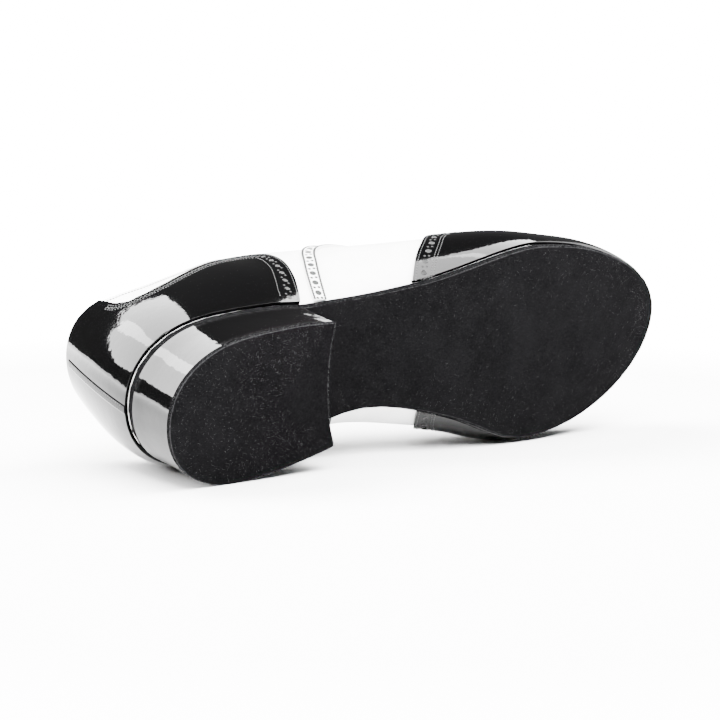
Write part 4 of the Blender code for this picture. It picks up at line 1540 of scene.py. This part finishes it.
@dataclass
class Upper:
    """The white upper, one shell with its lining, collar bead and eyelets."""

    last: Last
    finishes: Finishes
    rows: int = 46
    columns: tuple = (30, 74, 10, 52, 62, 34)

    def shell(self) -> Piece:
        """The leather shell, open at the collar, the throat and underneath.

        Returns:
            The piece.
        """
        last = self.last
        marks = [
            float(last.share(x)) for x in (0.0, 0.06, FACING_TOP - 0.03, FACING_TOP, THROAT, 0.90)
        ] + [1.0]
        own = []
        for start, end, count in zip(marks[:-1], marks[1:], self.columns):
            own += list(np.linspace(start, end, count, endpoint=False))
        own.append(1.0)
        around = np.array(own + [2 - s for s in reversed(own[1:-1])])
        tops = last.top_angle(around)
        q = around[:, None] * np.ones(self.rows + 1)
        a = np.array([last.even_rows(s, top, self.rows) for s, top in zip(around, tops)])
        points, faces, inside = sheet(last, q, a, -WALL, relief(last, q, a), closed=True)
        slots = [1] * inside + [0] * (len(faces) - inside)
        materials = [self.finishes.white, self.finishes.lining]
        obj = make_mesh("upper_leather", points, faces, materials, slots, weld=0.002)
        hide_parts("upper")
        return obj

    def eyelet_spots(self) -> Spots:
        """Centre, run and normal of every eyelet.

        Returns:
            Points, unit tangents and unit normals.
        """
        q = np.concatenate([self.last.share(LACE_ROWS), 2 - self.last.share(LACE_ROWS)])
        gap = self.last.facing_gap(np.array(LACE_ROWS * 2))
        a = self.last.angle_at(q, gap + EYELET_SETBACK)
        normal = self.last.facing(q, a)
        run = np.cross(normal, np.array([0.0, 1.0, 0.0]))
        run /= np.linalg.norm(run, axis=1)[:, None]
        return self.last.skin(q, a), run, normal

    def holes(self, shell: Piece) -> None:
        """Cuts the eyelets through the shell.

        Args:
            shell: The leather shell.
        """
        sides = 24
        points = []
        faces = []
        for centre, run, normal in zip(*self.eyelet_spots()):
            side = np.cross(normal, run)
            start = len(points)
            for depth in (-WALL - 2.0, 2.0):
                for k in range(sides):
                    angle = 2 * math.pi * k / sides
                    rim = run * math.cos(angle) + side * math.sin(angle)
                    points.append(centre + normal * depth + rim * EYELET_RADIUS)
            faces.append(tuple(start + k for k in range(sides)))
            faces.append(tuple(start + sides + k for k in range(sides)))
            for k in range(sides):
                j = (k + 1) % sides
                faces.append((start + k, start + j, start + sides + j, start + sides + k))
        cutter = make_mesh("eyelet_cutter", np.array(points), faces, [])
        cut = shell.modifiers.new("eyelets", "BOOLEAN")
        cut.operation = "DIFFERENCE"
        cut.solver = "EXACT"
        cut.object = cutter
        bpy.context.view_layer.objects.active = shell
        bpy.ops.object.modifier_apply(modifier=cut.name)
        bpy.data.objects.remove(cutter)
        shell.data.set_sharp_from_angle(angle=math.radians(40))

    def rings(self) -> Piece:
        """Enamelled rims of the eyelets.

        Returns:
            The piece.
        """
        profile = [(1.78, -0.5), (1.78, 0.2), (1.95, 0.45), (2.3, 0.5), (2.65, 0.32), (2.75, 0.04)]
        sides = 28
        points = []
        faces = []
        for radius, height in profile:
            for k in range(sides):
                angle = 2 * math.pi * k / sides
                points.append((radius * math.cos(angle), radius * math.sin(angle), height))
        for ring in range(len(profile) - 1):
            for k in range(sides):
                j = (k + 1) % sides
                a = ring * sides
                faces.append((a + k, a + sides + k, a + sides + j, a + j))
        scatter = Scatter()
        scatter.put(np.array(points), faces, [0] * len(faces), self.eyelet_spots())
        return scatter.finish("eyelet_rims", [self.finishes.eyelet])

    def bead(self) -> Piece:
        """The folded edge of the collar, as a fine roll along the top line.

        Returns:
            The piece.
        """
        last = self.last
        own = np.linspace(0, float(last.share(FACING_TOP - 0.012)), 150)
        q = np.concatenate([own[::-1], -own[1:]])
        a = last.top_angle(q)
        centre = last.skin(q, a) - last.facing(q, a) * (WALL / 2)
        run = np.gradient(centre, axis=0)
        run /= np.linalg.norm(run, axis=1)[:, None]
        out = last.facing(q, a)
        up = np.cross(out, run)
        up *= np.sign(up[:, 2])[:, None]
        sides = 12
        points = []
        for k in range(sides):
            angle = 2 * math.pi * k / sides
            points.append(centre + out * (WALL / 2 + 0.03) * math.cos(angle) + up * 0.75 * math.sin(angle))
        points = np.stack(points, axis=1).reshape(-1, 3)
        faces = []
        for i in range(len(q) - 1):
            for k in range(sides):
                j = (k + 1) % sides
                faces.append((i * sides + k, i * sides + j, (i + 1) * sides + j, (i + 1) * sides + k))
        faces.append(tuple(range(sides)))
        faces.append(tuple(range(len(points) - sides, len(points))))
        return make_mesh("collar_bead", points, faces, [self.finishes.white])

    def seams(self) -> Piece:
        """Stitch rows along the collar and round the facings.

        Returns:
            The piece.
        """
        last = self.last
        scatter = Scatter()
        for side in Side:
            own = np.linspace(float(last.share(0.066)), float(last.share(FACING_TOP - 0.02)), 140)
            q = own if side is Side.LATERAL else 2 - own
            top = Trail(last, q, last.top_angle(q), 0.0)
            low = (0.35 if side is Side.LATERAL else 1.65, 0.0)
            scatter.put(*STITCH, top.beside(2.4, low).spots(1.35), size=(1.1, 0.8, 0.4))
            x = np.linspace(FACING_TOP + 0.004, THROAT - 0.008, 90)
            own = last.share(x)
            q = own if side is Side.LATERAL else 2 - own
            for setback in (1.8, 10.5):
                a = last.angle_at(q, last.facing_gap(x) + setback)
                scatter.put(*STITCH, Trail(last, q, a, 0.0).spots(1.35), size=(1.1, 0.6, 0.3))
        # The near-black thread here carries painted shade of the stitch seams as well as the thread's own
        # colour.
        return scatter.finish("upper_stitches", [self.finishes.grey_thread])

    def build(self) -> None:
        """Makes every piece of the upper."""
        shell = self.shell()
        self.holes(shell)
        soften(shell, 0.35, 2)
        for obj in (self.rings(), self.bead(), self.seams()):
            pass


@dataclass
class WingCap:
    """The winged toe cap with its punched border."""

    last: Last
    finishes: Finishes
    half: int = 120
    rows: int = 64

    def cap(self) -> Piece:
        """The patent overlay.

        Returns:
            The piece.
        """
        last = self.last
        wing = table(WING, 1)
        levels = np.linspace(0, 1, self.rows + 1) ** 1.45
        q = np.zeros((2 * self.half + 1, self.rows + 1))
        for k, share in enumerate(levels):
            start = float(last.share(wing(share)))
            t = 1 - (1 - np.linspace(0, 1, self.half + 1)) ** 1.12
            own = start + (1 - start) * t
            q[:, k] = np.concatenate([own, 2 - own[-2::-1]])
        a = np.broadcast_to(levels * CROWN, q.shape).copy()
        points, faces, _ = sheet(last, q, a, 0.06, OVERLAY - 0.15 + 0.6 * relief(last, q, a))
        obj = make_mesh("toe_cap_patent", points, faces, [self.finishes.patent], weld=0.002)
        soften(obj, 0.4)
        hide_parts("toe_cap")
        return obj

    def border(self) -> Piece:
        """Stitches and punched holes along the wing's edge.

        Returns:
            The piece.
        """
        last = self.last
        scatter = Scatter()
        share = np.linspace(0.0, 0.992, 260)
        for side in Side:
            own = last.share(table(WING, 1)(share))
            q = own if side is Side.LATERAL else 2 - own
            edge = Trail(last, q, share * CROWN, OVERLAY - 0.15)
            toe = (1.0, 0.2)
            for reach in (1.3, 7.6, 8.9):
                scatter.put(*STITCH, edge.beside(reach, toe).spots(STITCH_PITCH), size=STITCH_SIZE)
            scatter.put(*PUNCH, edge.beside(4.5, toe).spots(PUNCH_PITCH, 0.75), size=(1.05, 1.05, 1.0))
            for reach in (3.6, 5.4):
                scatter.put(*PUNCH, edge.beside(reach, toe).spots(PUNCH_PITCH, 0.25), size=SMALL_PUNCH)
        return scatter.finish("toe_cap_border", self.finishes.dark_border())

    def build(self) -> None:
        """Makes the cap and its border."""
        self.cap()
        self.border()


@dataclass
class HeelCounter:
    """The counter that wraps the heel, with its punched border and centre-back strip."""

    last: Last
    finishes: Finishes
    half: int = 110
    rows: int = 40

    def patch(self) -> Piece:
        """The patent overlay.

        Returns:
            The piece.
        """
        last = self.last
        front = table(COUNTER_FRONT, 1)
        top = table(COUNTER_TOP, 1)
        back = float(last.share(0.07))
        near = self.half // 2 + 1
        levels = np.linspace(0, 1, self.rows + 1) ** 1.25
        q = np.zeros((2 * self.half + 1, self.rows + 1))
        for k, level in enumerate(levels):
            start = float(last.share(front(level)))
            one = [
                np.linspace(0, back, near, endpoint=False), np.linspace(back, start, self.half + 1 - near)
            ]
            one = np.concatenate(one)
            q[:, k] = np.concatenate([one[::-1], -one[1:]])
        x = last.around(last.own(q))[0][..., 0] / LENGTH
        a = levels[None, :] * np.arcsin(top(x))
        points, faces, _ = sheet(last, q, a, 0.06, OVERLAY - 0.3 + 0.5 * relief(last, q, a))
        obj = make_mesh("heel_counter_patent", points, faces, [self.finishes.patent], weld=0.002)
        soften(obj, 0.4)
        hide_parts("heel_counter")
        return obj

    def back_strip(self) -> Piece:
        """The narrow strip over the seam at the middle of the back.

        Returns:
            The piece.
        """
        last = self.last
        across = np.linspace(-BACK_STRIP_HALF, BACK_STRIP_HALF, 9) / last.side_length
        a = np.linspace(0.0, BACK_STRIP_TOP, 40)
        q, a = np.meshgrid(across, a, indexing="ij")
        round_off = 0.3 * (1 - (across * last.side_length / BACK_STRIP_HALF) ** 4)[:, None]
        points, faces, _ = sheet(last, q, a, OVERLAY - 0.5, OVERLAY - 0.25 + round_off)
        return make_mesh("back_strip", points, faces, [self.finishes.dull_patent], weld=0.002)

    def border(self) -> Piece:
        """Stitches and punched holes round the counter, and the back seam.

        Returns:
            The piece.
        """
        last = self.last
        scatter = Scatter()
        out = OVERLAY - 0.3
        for side in Side:
            edge = Trail.through(last, side, COUNTER_EDGE, out, 240)
            share = np.linspace(0, 1, len(edge.q))
            wide = table(COUNTER_STRIP, 1)(share)
            seat = (0.2 if side is Side.LATERAL else 1.8, 0.1)
            scatter.put(*STITCH, edge.beside(1.05, seat).spots(STITCH_PITCH), size=STITCH_SIZE)
            scatter.put(*STITCH, edge.beside(wide, seat).spots(STITCH_PITCH), size=STITCH_SIZE)
            front = slice(135, None)
            far = edge.beside(wide * 0.54, seat)
            far = Trail(last, far.q[front], far.a[front], out)
            scatter.put(*PUNCH, far.spots(PUNCH_PITCH, 0.4), size=(0.95, 0.95, 1.0))
            for reach in (0.42, 0.66):
                pair = edge.beside(wide * reach, seat)
                pair = Trail(last, pair.q[front], pair.a[front], out)
                scatter.put(*PUNCH, pair.spots(PUNCH_PITCH, 0.9), size=SMALL_PUNCH)
            row = edge.beside(0.55 * (wide + 1.05), seat)
            row = Trail(last, row.q[:140], row.a[:140], out)
            for slant, start in ((0.9, 0.25), (-0.9, 0.75)):
                scatter.put(*STITCH, slanted(row.spots(2.3, start), slant), size=(1.5, 0.5, 0.5))
            q = np.full(60, 1.05 / last.side_length)
            q = q if side is Side.LATERAL else 2 - q
            a = np.linspace(0.02, BACK_STRIP_TOP - 0.01, 60)
            scatter.put(*STITCH, Trail(last, q, a, out + 0.26).spots(1.5), size=(0.95, 0.5, 0.45))
        return scatter.finish("heel_counter_border", self.finishes.dark_border())

    def build(self) -> None:
        """Makes the counter and its border."""
        self.patch()
        self.back_strip()
        self.border()


@dataclass
class QuarterBand:
    """The punched strip down one quarter."""

    last: Last
    finishes: Finishes
    side: Side

    def build(self) -> None:
        """Makes the strip, its stitches and its holes."""
        last = self.last
        name = self.side.name.lower()
        t = np.linspace(0, BAND_LINE[-1][0], 121)
        own = last.share(table(BAND_LINE, 1)(t))
        q = own if self.side is Side.LATERAL else 2 - own
        middle = Trail(last, q, np.arcsin(t), BAND - 0.25)
        toe = (1.0, 0.1)
        heel = (0.0, 0.1)
        lines = []
        for share in np.linspace(-1, 1, 9):
            moved = middle.beside(abs(share) * BAND_WIDTH / 2, toe if share > 0 else heel)
            lines.append((moved.q, moved.a))
        lines[4] = (middle.q, middle.a)
        grid_q = np.stack([line[0] for line in lines], axis=1)
        grid_a = np.stack([line[1] for line in lines], axis=1)
        grid_a[0] = 0.0
        points, faces, _ = sheet(last, grid_q, grid_a, 0.02, BAND - 0.25)
        strip = make_mesh(f"band_leather_{name}", points, faces, [self.finishes.white], weld=0.002)
        soften(strip, 0.2, 2)
        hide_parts(f"quarter_band_{name}")
        scatter = Scatter()
        for towards in (toe, heel):
            # Wide stitches: the thread plus the painted shade of the seam it sinks into.
            scatter.put(
                *STITCH,
                middle.beside(BAND_WIDTH / 2 - 0.7, towards).spots(STITCH_PITCH, 0.5, 0.05),
                size=(1.34, 1.2, 0.6),
            )
            scatter.put(
                *PUNCH, middle.beside(1.0, towards).spots(PUNCH_PITCH, 0.15), size=(0.85, 0.85, 0.3)
            )
        scatter.put(*PUNCH, middle.spots(PUNCH_PITCH, 0.65), size=(1.75, 1.75, 0.35))
        border = scatter.finish(f"band_border_{name}", self.finishes.white_border())


@dataclass
class Heel:
    """The low heel in its patent cover."""

    last: Last
    finishes: Finishes
    columns: int = 90
    across: int = 28
    levels: int = 12

    def build(self) -> None:
        """Makes the covered heel."""
        last = self.last
        end = float(last.share(BREAST))
        own = np.linspace(0, 1, self.columns) ** 1.15
        fade = np.clip((own - 0.7) / 0.3, 0, 1) ** 1.5
        inset = table(HEEL_LEVELS, 1)
        rake = table(HEEL_LEVELS, 2)
        share = np.linspace(0, 1, self.across + 1)
        grids = []
        for level in np.linspace(0, 1, self.levels + 1):
            sides = []
            for q in (own * end, 2 - own * end):
                plan, _ = last.around(q, inset(level) * np.ones_like(q))
                low = LIFT_THICK + GAP / 3
                high = last.sole(plan[:, 0]) - GAP / 3
                sides.append(np.column_stack([plan, low + level * (high - low)]))
            lateral, medial = sides
            medial[0] = lateral[0]
            medial[-1, 2] = lateral[-1, 2]
            for side in sides:
                side[:, 0] -= rake(level) * fade
            medial[-1, 0] = lateral[-1, 0]
            from_lateral = lateral[:, None, :] * (1 - share)[None, :, None]
            grid = from_lateral + medial[:, None, :] * share[None, :, None]
            grid[..., 0] -= (fade * BREAST_HOLLOW)[:, None] * (1 - (2 * share - 1) ** 2)[None, :]
            grids.append(grid)
        size = self.columns * (self.across + 1)
        points = np.vstack([grid.reshape(-1, 3) for grid in grids])
        faces = grid_faces(self.columns, self.across + 1)
        faces += grid_faces(self.columns, self.across + 1, self.levels * size)
        wide = self.across + 1
        for h in range(self.levels):
            base = h * size
            for k in (0, self.across):
                for i in range(self.columns - 1):
                    a, b = i * wide + k, (i + 1) * wide + k
                    faces.append((base + a, base + b, base + size + b, base + size + a))
            for k in range(self.across):
                a = (self.columns - 1) * wide + k
                faces.append((base + a, base + a + 1, base + size + a + 1, base + size + a))
        obj = make_mesh("heel_cover_patent", points, faces, [self.finishes.patent], weld=0.002)
        soften(obj, 0.15)
        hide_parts("heel_block")


@dataclass
class SuedeSole:
    """The suede outsole and top lift, with the loose fibres of their nap."""

    last: Last
    finishes: Finishes
    nodes: dict
    seed: int = 7

    def fibres(
        self, name: str, root: np.ndarray, aim: np.ndarray, length: np.ndarray, radius: float
    ) -> Piece:
        """Thin bent hairs from their roots, as one mesh.

        Args:
            name: The piece's name.
            root: Roots, in standing millimetres.
            aim: Which way each hair points.
            length: Length of each hair, in millimetres.
            radius: Radius at the root, in millimetres.

        Returns:
            The piece.
        """
        rng = np.random.default_rng(self.seed + len(root))
        aim = aim / np.linalg.norm(aim, axis=1)[:, None]
        sway = rng.normal(0, 0.7, root.shape)
        middle = root + (aim + sway * 0.35) * length[:, None] * 0.5
        tip = middle + (aim + sway) * length[:, None] * 0.5
        one = np.cross(aim, rng.normal(size=root.shape))
        one /= np.linalg.norm(one, axis=1)[:, None]
        two = np.cross(aim, one)
        rings = []
        for place, size in ((root, 1.0), (middle, 0.8)):
            for k in range(3):
                angle = 2 * math.pi * k / 3
                rings.append(place + (one * math.cos(angle) + two * math.sin(angle)) * radius * size)
        strands = np.stack([*rings, tip], axis=1)
        strands = strands[to_world(strands)[..., 2].min(axis=1) > 0.0001]
        points = strands.reshape(-1, 3)
        faces = []
        for i in range(len(strands)):
            b = i * 7
            for k in range(3):
                j = (k + 1) % 3
                faces.append((b + k, b + j, b + 3 + j, b + 3 + k))
                faces.append((b + 3 + k, b + 3 + j, b + 6))
        return make_mesh(name, points, faces, [self.finishes.fibre], outward=False)

    def sole_nap(self) -> Piece:
        """Fibres over the outsole's face and round its edge.

        Returns:
            The piece.
        """
        last = self.last
        rng = np.random.default_rng(self.seed)
        edge = 2600
        q = rng.uniform(0, 2, edge)
        plan, normal = last.around(q, rng.uniform(0.1, 0.9, edge))
        root = np.column_stack([plan, last.sole(plan[:, 0]) + rng.uniform(0.0, 1.2, edge)])
        aim = np.column_stack([normal * rng.uniform(0.2, 1.0, edge)[:, None], -rng.uniform(0.1, 0.9, edge)])
        face = 2400
        q = rng.uniform(0.25, 1.75, face)
        foot, _ = last.around(q, 1.4 * np.ones(face))
        inner = last.core(q)
        plan = inner + (foot - inner) * np.sqrt(rng.uniform(0, 1, face))[:, None]
        flat = np.column_stack([plan, last.sole(plan[:, 0])])
        keep = plan[:, 0] > BREAST * LENGTH + 2
        lean = np.column_stack([rng.normal(0, 1, (face, 2)), -rng.uniform(0.15, 0.5, face)])
        root = np.vstack([root, flat[keep]])
        aim = np.vstack([aim, lean[keep]])
        return self.fibres("outsole_fibres", root, aim, rng.uniform(0.3, 1.0, len(root)), 0.028)

    def lift_nap(self) -> Piece:
        """Fibres over the lift's face and round its edge.

        Returns:
            The piece.
        """
        last = self.last
        rng = np.random.default_rng(self.seed + 1)
        end = float(last.share(BREAST))
        edge = 1900
        own = rng.uniform(0, end, edge)
        q = np.where(rng.uniform(0, 1, edge) < 0.5, own, 2 - own)
        plan, normal = last.around(q, HEEL_TAPER + rng.uniform(0.0, 0.5, edge))
        root = np.column_stack([plan, rng.uniform(0.1, 1.9, edge)])
        aim = np.column_stack(
            [normal * rng.uniform(0.2, 1.0, edge)[:, None], -rng.uniform(-0.1, 0.9, edge)]
        )
        breast = 600
        share = rng.uniform(-1, 1, breast)
        side = BALL_WIDTH * 0.29 * share
        corner = float(last.around(end, HEEL_TAPER)[0][0])
        x = corner - BREAST_HOLLOW * (1 - share**2)
        root = np.vstack([root, np.column_stack([x, side, rng.uniform(0.1, 1.8, breast)])])
        more = np.column_stack(
            [rng.uniform(0.2, 1, breast), rng.normal(0, 0.4, breast), -rng.uniform(0, 0.8, breast)]
        )
        aim = np.vstack([aim, more])
        face = 1500
        q = rng.uniform(0, end, face)
        q = np.where(rng.uniform(0, 1, face) < 0.5, q, 2 - q)
        foot, _ = last.around(q, (HEEL_TAPER + 0.5) * np.ones(face))
        middle = np.array([BREAST * LENGTH * 0.62, 0.0])
        plan = middle + (foot - middle) * np.sqrt(rng.uniform(0, 1, face))[:, None]
        flat = np.column_stack([plan, 0 * plan[:, 0]])
        lean = np.column_stack([rng.normal(0, 1, (face, 2)), -rng.uniform(0.15, 0.5, face)])
        root = np.vstack([root, flat])
        aim = np.vstack([aim, lean])
        return self.fibres("top_lift_fibres", root, aim, rng.uniform(0.3, 1.0, len(root)), 0.028)

    def rubbed_edge(self, name: str, path: np.ndarray) -> Piece:
        """A thin roll of lighter nap along a closed edge.

        Args:
            name: The piece's name.
            path: The edge's points, in standing millimetres.

        Returns:
            The piece.
        """
        sides = 8
        run = np.roll(path, -1, axis=0) - np.roll(path, 1, axis=0)
        run /= np.linalg.norm(run, axis=1)[:, None]
        out = np.cross(run, np.array([0.0, 0.0, 1.0]))
        out /= np.linalg.norm(out, axis=1)[:, None]
        rough = 1 + 0.16 * np.random.default_rng(self.seed).normal(size=(len(path), 1))
        rings = []
        for k in range(sides):
            angle = 2 * math.pi * k / sides
            rim = out * math.cos(angle) + np.array([0.0, 0.0, 1.0]) * math.sin(angle)
            rings.append(path + rim * 0.3 * rough)
        points = np.stack(rings, axis=1).reshape(-1, 3)
        faces = []
        for i in range(len(path)):
            n = (i + 1) % len(path)
            for k in range(sides):
                j = (k + 1) % sides
                faces.append((i * sides + k, i * sides + j, n * sides + j, n * sides + k))
        return make_mesh(name, points, faces, [self.finishes.edge])

    def sole_edge(self) -> Piece:
        """The rubbed lower edge of the outsole."""
        plan, _ = self.last.around(np.linspace(0, 2, 700, endpoint=False), 0.95 * np.ones(700))
        return self.rubbed_edge("outsole_edge", np.column_stack([plan, self.last.sole(plan[:, 0]) + 0.42]))

    def lift_edge(self) -> Piece:
        """The rubbed lower edge of the top lift.

        Returns:
            The piece.
        """
        last = self.last
        own = np.linspace(0, 1, 220)
        fade = (np.clip((own - 0.7) / 0.3, 0, 1) ** 1.5)[:, None] * np.array([0.3, 0.0])
        own = own * float(last.share(BREAST))
        inset = (HEEL_TAPER + 0.33) * np.ones(220)
        lateral = last.around(own, inset)[0] - fade
        medial = last.around(2 - own, inset)[0] - fade
        medial[:, 0] = np.minimum(medial[:, 0], lateral[-1, 0])
        share = np.linspace(0, 1, 90)[1:-1, None]
        breast = lateral[-1] * (1 - share) + medial[-1] * share
        breast[:, 0] -= BREAST_HOLLOW * (1 - (2 * share[:, 0] - 1) ** 2)
        ring = np.vstack([lateral, breast, medial[:0:-1]])
        return self.rubbed_edge("top_lift_edge", np.column_stack([ring, np.full(len(ring), 0.3)]))

    def build(self) -> None:
        """Dresses the sole and the lift."""
        self.sole_edge()
        self.lift_edge()
        dress(self.nodes["outsole"], self.finishes.suede)
        dress(self.nodes["top_lift"], self.finishes.lift)
        self.sole_nap()
        self.lift_nap()


@dataclass
class Lacing:
    """The tongue and the lace's crossings."""

    last: Last
    finishes: Finishes

    def tongue(self) -> None:
        """The tongue under the facings."""
        last = self.last
        columns, across = 90, 40
        x = np.linspace(TONGUE_TOP, TONGUE_END, columns)
        own = last.share(x)
        share = np.linspace(-1, 1, across + 1)
        ends = np.minimum(1.0, 0.72 + 0.14 * (x - TONGUE_TOP) / (TONGUE_END - TONGUE_TOP) * 13)
        q = np.where(share[None, :] <= 0, own[:, None], 2 - own[:, None])
        a = last.angle_at(q, np.abs(share)[None, :] * TONGUE_HALF * ends[:, None])
        points, faces, _ = sheet(last, q, a, -(TONGUE_TOP_FACE + TONGUE_THICK), -TONGUE_TOP_FACE)
        obj = make_mesh("tongue_leather", points, faces, [self.finishes.white], weld=0.002)
        soften(obj, 0.4)
        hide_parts("tongue")

    def route(self, x: float) -> np.ndarray:
        """The middle line of one crossing, down into the eyelet at each end.

        Args:
            x: Place of the row, as a share of the length.

        Returns:
            Points in metres, in the row frame.
        """
        last = self.last
        own = float(last.share(x))
        centre = last.core(own)
        crown = np.array([*centre, float(last.height(centre[0] / LENGTH)) * INSTEP_HEIGHT])
        gap = float(last.facing_gap(x)) + EYELET_SETBACK
        lift = LACE_RADIUS + 0.75
        ends = []
        for q in (own, 2 - own):
            a = float(last.angle_at(q, gap))
            near = float(last.angle_at(q, gap - 3.2))
            hole, normal = last.skin(q, a), last.facing(q, a)
            over = last.skin(q, near) + last.facing(q, near) * lift
            ends.append([hole - normal * 0.9, hole + normal * 0.5, over])
        top = crown + last.facing(own, CROWN) * lift
        return to_world(np.array(ends[0] + [top] + ends[1][::-1]))

    def bars(self) -> None:
        """The lace's crossings, each from eyelet to eyelet."""
        for number, x in enumerate(LACE_ROWS, start=1):
            path = self.route(x)
            curve = bpy.data.curves.new(f"lace_crossing_{number}", "CURVE")
            curve.dimensions = "3D"
            curve.bevel_depth = LACE_RADIUS * MM
            curve.bevel_resolution = 5
            curve.resolution_u = 10
            curve.use_fill_caps = True
            line = curve.splines.new("BEZIER")
            line.bezier_points.add(len(path) - 1)
            for point, place in zip(line.bezier_points, path):
                point.co = tuple(place)
                point.handle_left_type = "AUTO"
                point.handle_right_type = "AUTO"
            curve.materials.append(self.finishes.lace)
            obj = bpy.data.objects.new(f"lace_crossing_{number}", curve)
            bpy.context.scene.collection.objects.link(obj)
            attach(obj, "root")
            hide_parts(f"lace_bar_{number}")

    def build(self) -> None:
        """Makes the tongue and the lace."""
        self.tongue()
        self.bars()


def dress(node: Piece, material: Material) -> None:
    """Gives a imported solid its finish."""
    node.data.materials.clear()
    node.data.materials.append(material)


@dataclass(frozen=True)
class SoftBox:
    """A soft studio light: where it stands, which way its width runs, how large it is and how bright."""

    name: str
    place: tuple
    width_along: tuple
    size: tuple
    radiance: float
    aim: tuple = (0.0, 0.0, 0.04)

    def build(self) -> None:
        """Makes the light."""
        light = bpy.data.lights.new(self.name, "AREA")
        light.shape = "RECTANGLE"
        light.size, light.size_y = self.size
        light.energy = self.radiance * math.pi * self.size[0] * self.size[1]
        obj = bpy.data.objects.new(self.name, light)
        obj.location = self.place
        back = (Vector(self.place) - Vector(self.aim)).normalized()
        width = Vector(self.width_along)
        width = (width - back * width.dot(back)).normalized()
        turn = Matrix((width, back.cross(width), back)).transposed()
        obj.rotation_mode = "QUATERNION"
        obj.rotation_quaternion = turn.to_quaternion()
        bpy.context.scene.collection.objects.link(obj)


SOFT_BOXES = (
    SoftBox("back_softbox", (-0.34, 0.56, 1.20), (-0.98, 0.10, -0.16), (0.96, 0.76), 40.0),
    SoftBox("low_softbox", (-0.93, 0.67, 0.81), (-0.585, 0.05, -0.81), (0.94, 0.62), 40.0),
    SoftBox("right_softbox", (0.66, -0.26, 1.11), (0.765, 0.524, -0.375), (1.30, 0.80), 40.0),
    SoftBox("front_softbox", (-0.36, -0.62, 1.15), (1.0, 0.0, 0.0), (1.15, 0.90), 38.0),
)


@dataclass
class Studio:
    """Floor, light and camera."""

    floor_size: float = 9.0
    glow: float = 17.0

    def floor(self) -> None:
        """A pale matte table under the shoe."""
        material, net, shader = principled("pale_floor")
        noise = net.noise(40.0, 3.0)
        net.feed(
            shader.inputs["Base Color"], net.tint(noise, (0.86, 0.86, 0.86, 1.0), (0.84, 0.84, 0.84, 1.0))
        )
        shader.inputs["Roughness"].default_value = 0.9
        shader.inputs["Specular IOR Level"].default_value = 0.1
        reach = net.add("ShaderNodeVectorMath", {0: net.place()}, operation="LENGTH").outputs["Value"]
        net.feed(shader.inputs["Emission Color"], (1.0, 1.0, 1.0, 1.0))
        net.feed(shader.inputs["Emission Strength"], net.spread(reach, 0.32, 0.9, 0.0, self.glow))
        half = self.floor_size / 2
        mesh = bpy.data.meshes.new("floor")
        mesh.from_pydata(
            [(-half, -half, 0), (half, -half, 0), (half, half, 0), (-half, half, 0)], [], [(0, 1, 2, 3)]
        )
        mesh.materials.append(material)
        obj = bpy.data.objects.new("floor", mesh)
        bpy.context.scene.collection.objects.link(obj)

    def world(self) -> None:
        """A dim room behind a white background."""
        world = bpy.data.worlds.new("studio")
        bpy.context.scene.world = world
        world.use_nodes = True
        net = Net(world.node_tree)
        shader = world.node_tree.nodes["Background"]
        seen = net.add("ShaderNodeLightPath").outputs["Is Camera Ray"]
        net.feed(shader.inputs["Color"], net.tint(seen, (0.15, 0.15, 0.15, 1.0), (20.0, 20.0, 20.0, 1.0)))

    def camera(self) -> None:
        """The photograph's point of view."""
        camera = bpy.data.cameras.new("camera")
        camera.lens = CAMERA_LENS
        camera.sensor_width = 36.0
        camera.clip_start = 0.01
        obj = bpy.data.objects.new("camera", camera)
        place, target = Vector(CAMERA_PLACE) * MM, Vector(CAMERA_TARGET) * MM
        look = (target - place).to_track_quat("-Z", "Y").to_matrix().to_4x4()
        roll = Matrix.Rotation(math.radians(CAMERA_ROLL), 4, "Z")
        obj.matrix_world = Matrix.Translation(place) @ look @ roll
        bpy.context.scene.collection.objects.link(obj)
        bpy.context.scene.camera = obj

    def build(self) -> None:
        """Makes the whole stage."""
        self.floor()
        self.world()
        self.camera()
        for box in SOFT_BOXES:
            box.build()


def main() -> None:
    """Builds the dressed shoe and its studio."""
    logging.basicConfig(level=logging.INFO, format="%(message)s")
    for obj in list(bpy.data.objects):
        bpy.data.objects.remove(obj)
    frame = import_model()
    last = Last()
    finishes = Finishes.build(Effects())
    Studio().build()
    parts = [
        Upper(last, finishes),
        WingCap(last, finishes),
        HeelCounter(last, finishes),
        QuarterBand(last, finishes, Side.LATERAL),
        QuarterBand(last, finishes, Side.MEDIAL),
        Heel(last, finishes),
        SuedeSole(last, finishes, frame["nodes"]),
        Lacing(last, finishes),
    ]
    for part in parts:
        part.build()
        LOG.info("built %s", type(part).__name__)
    dress(frame["nodes"]["insole"], finishes.lining)
    bpy.context.view_layer.update()


if __name__ == "__main__":
    main()
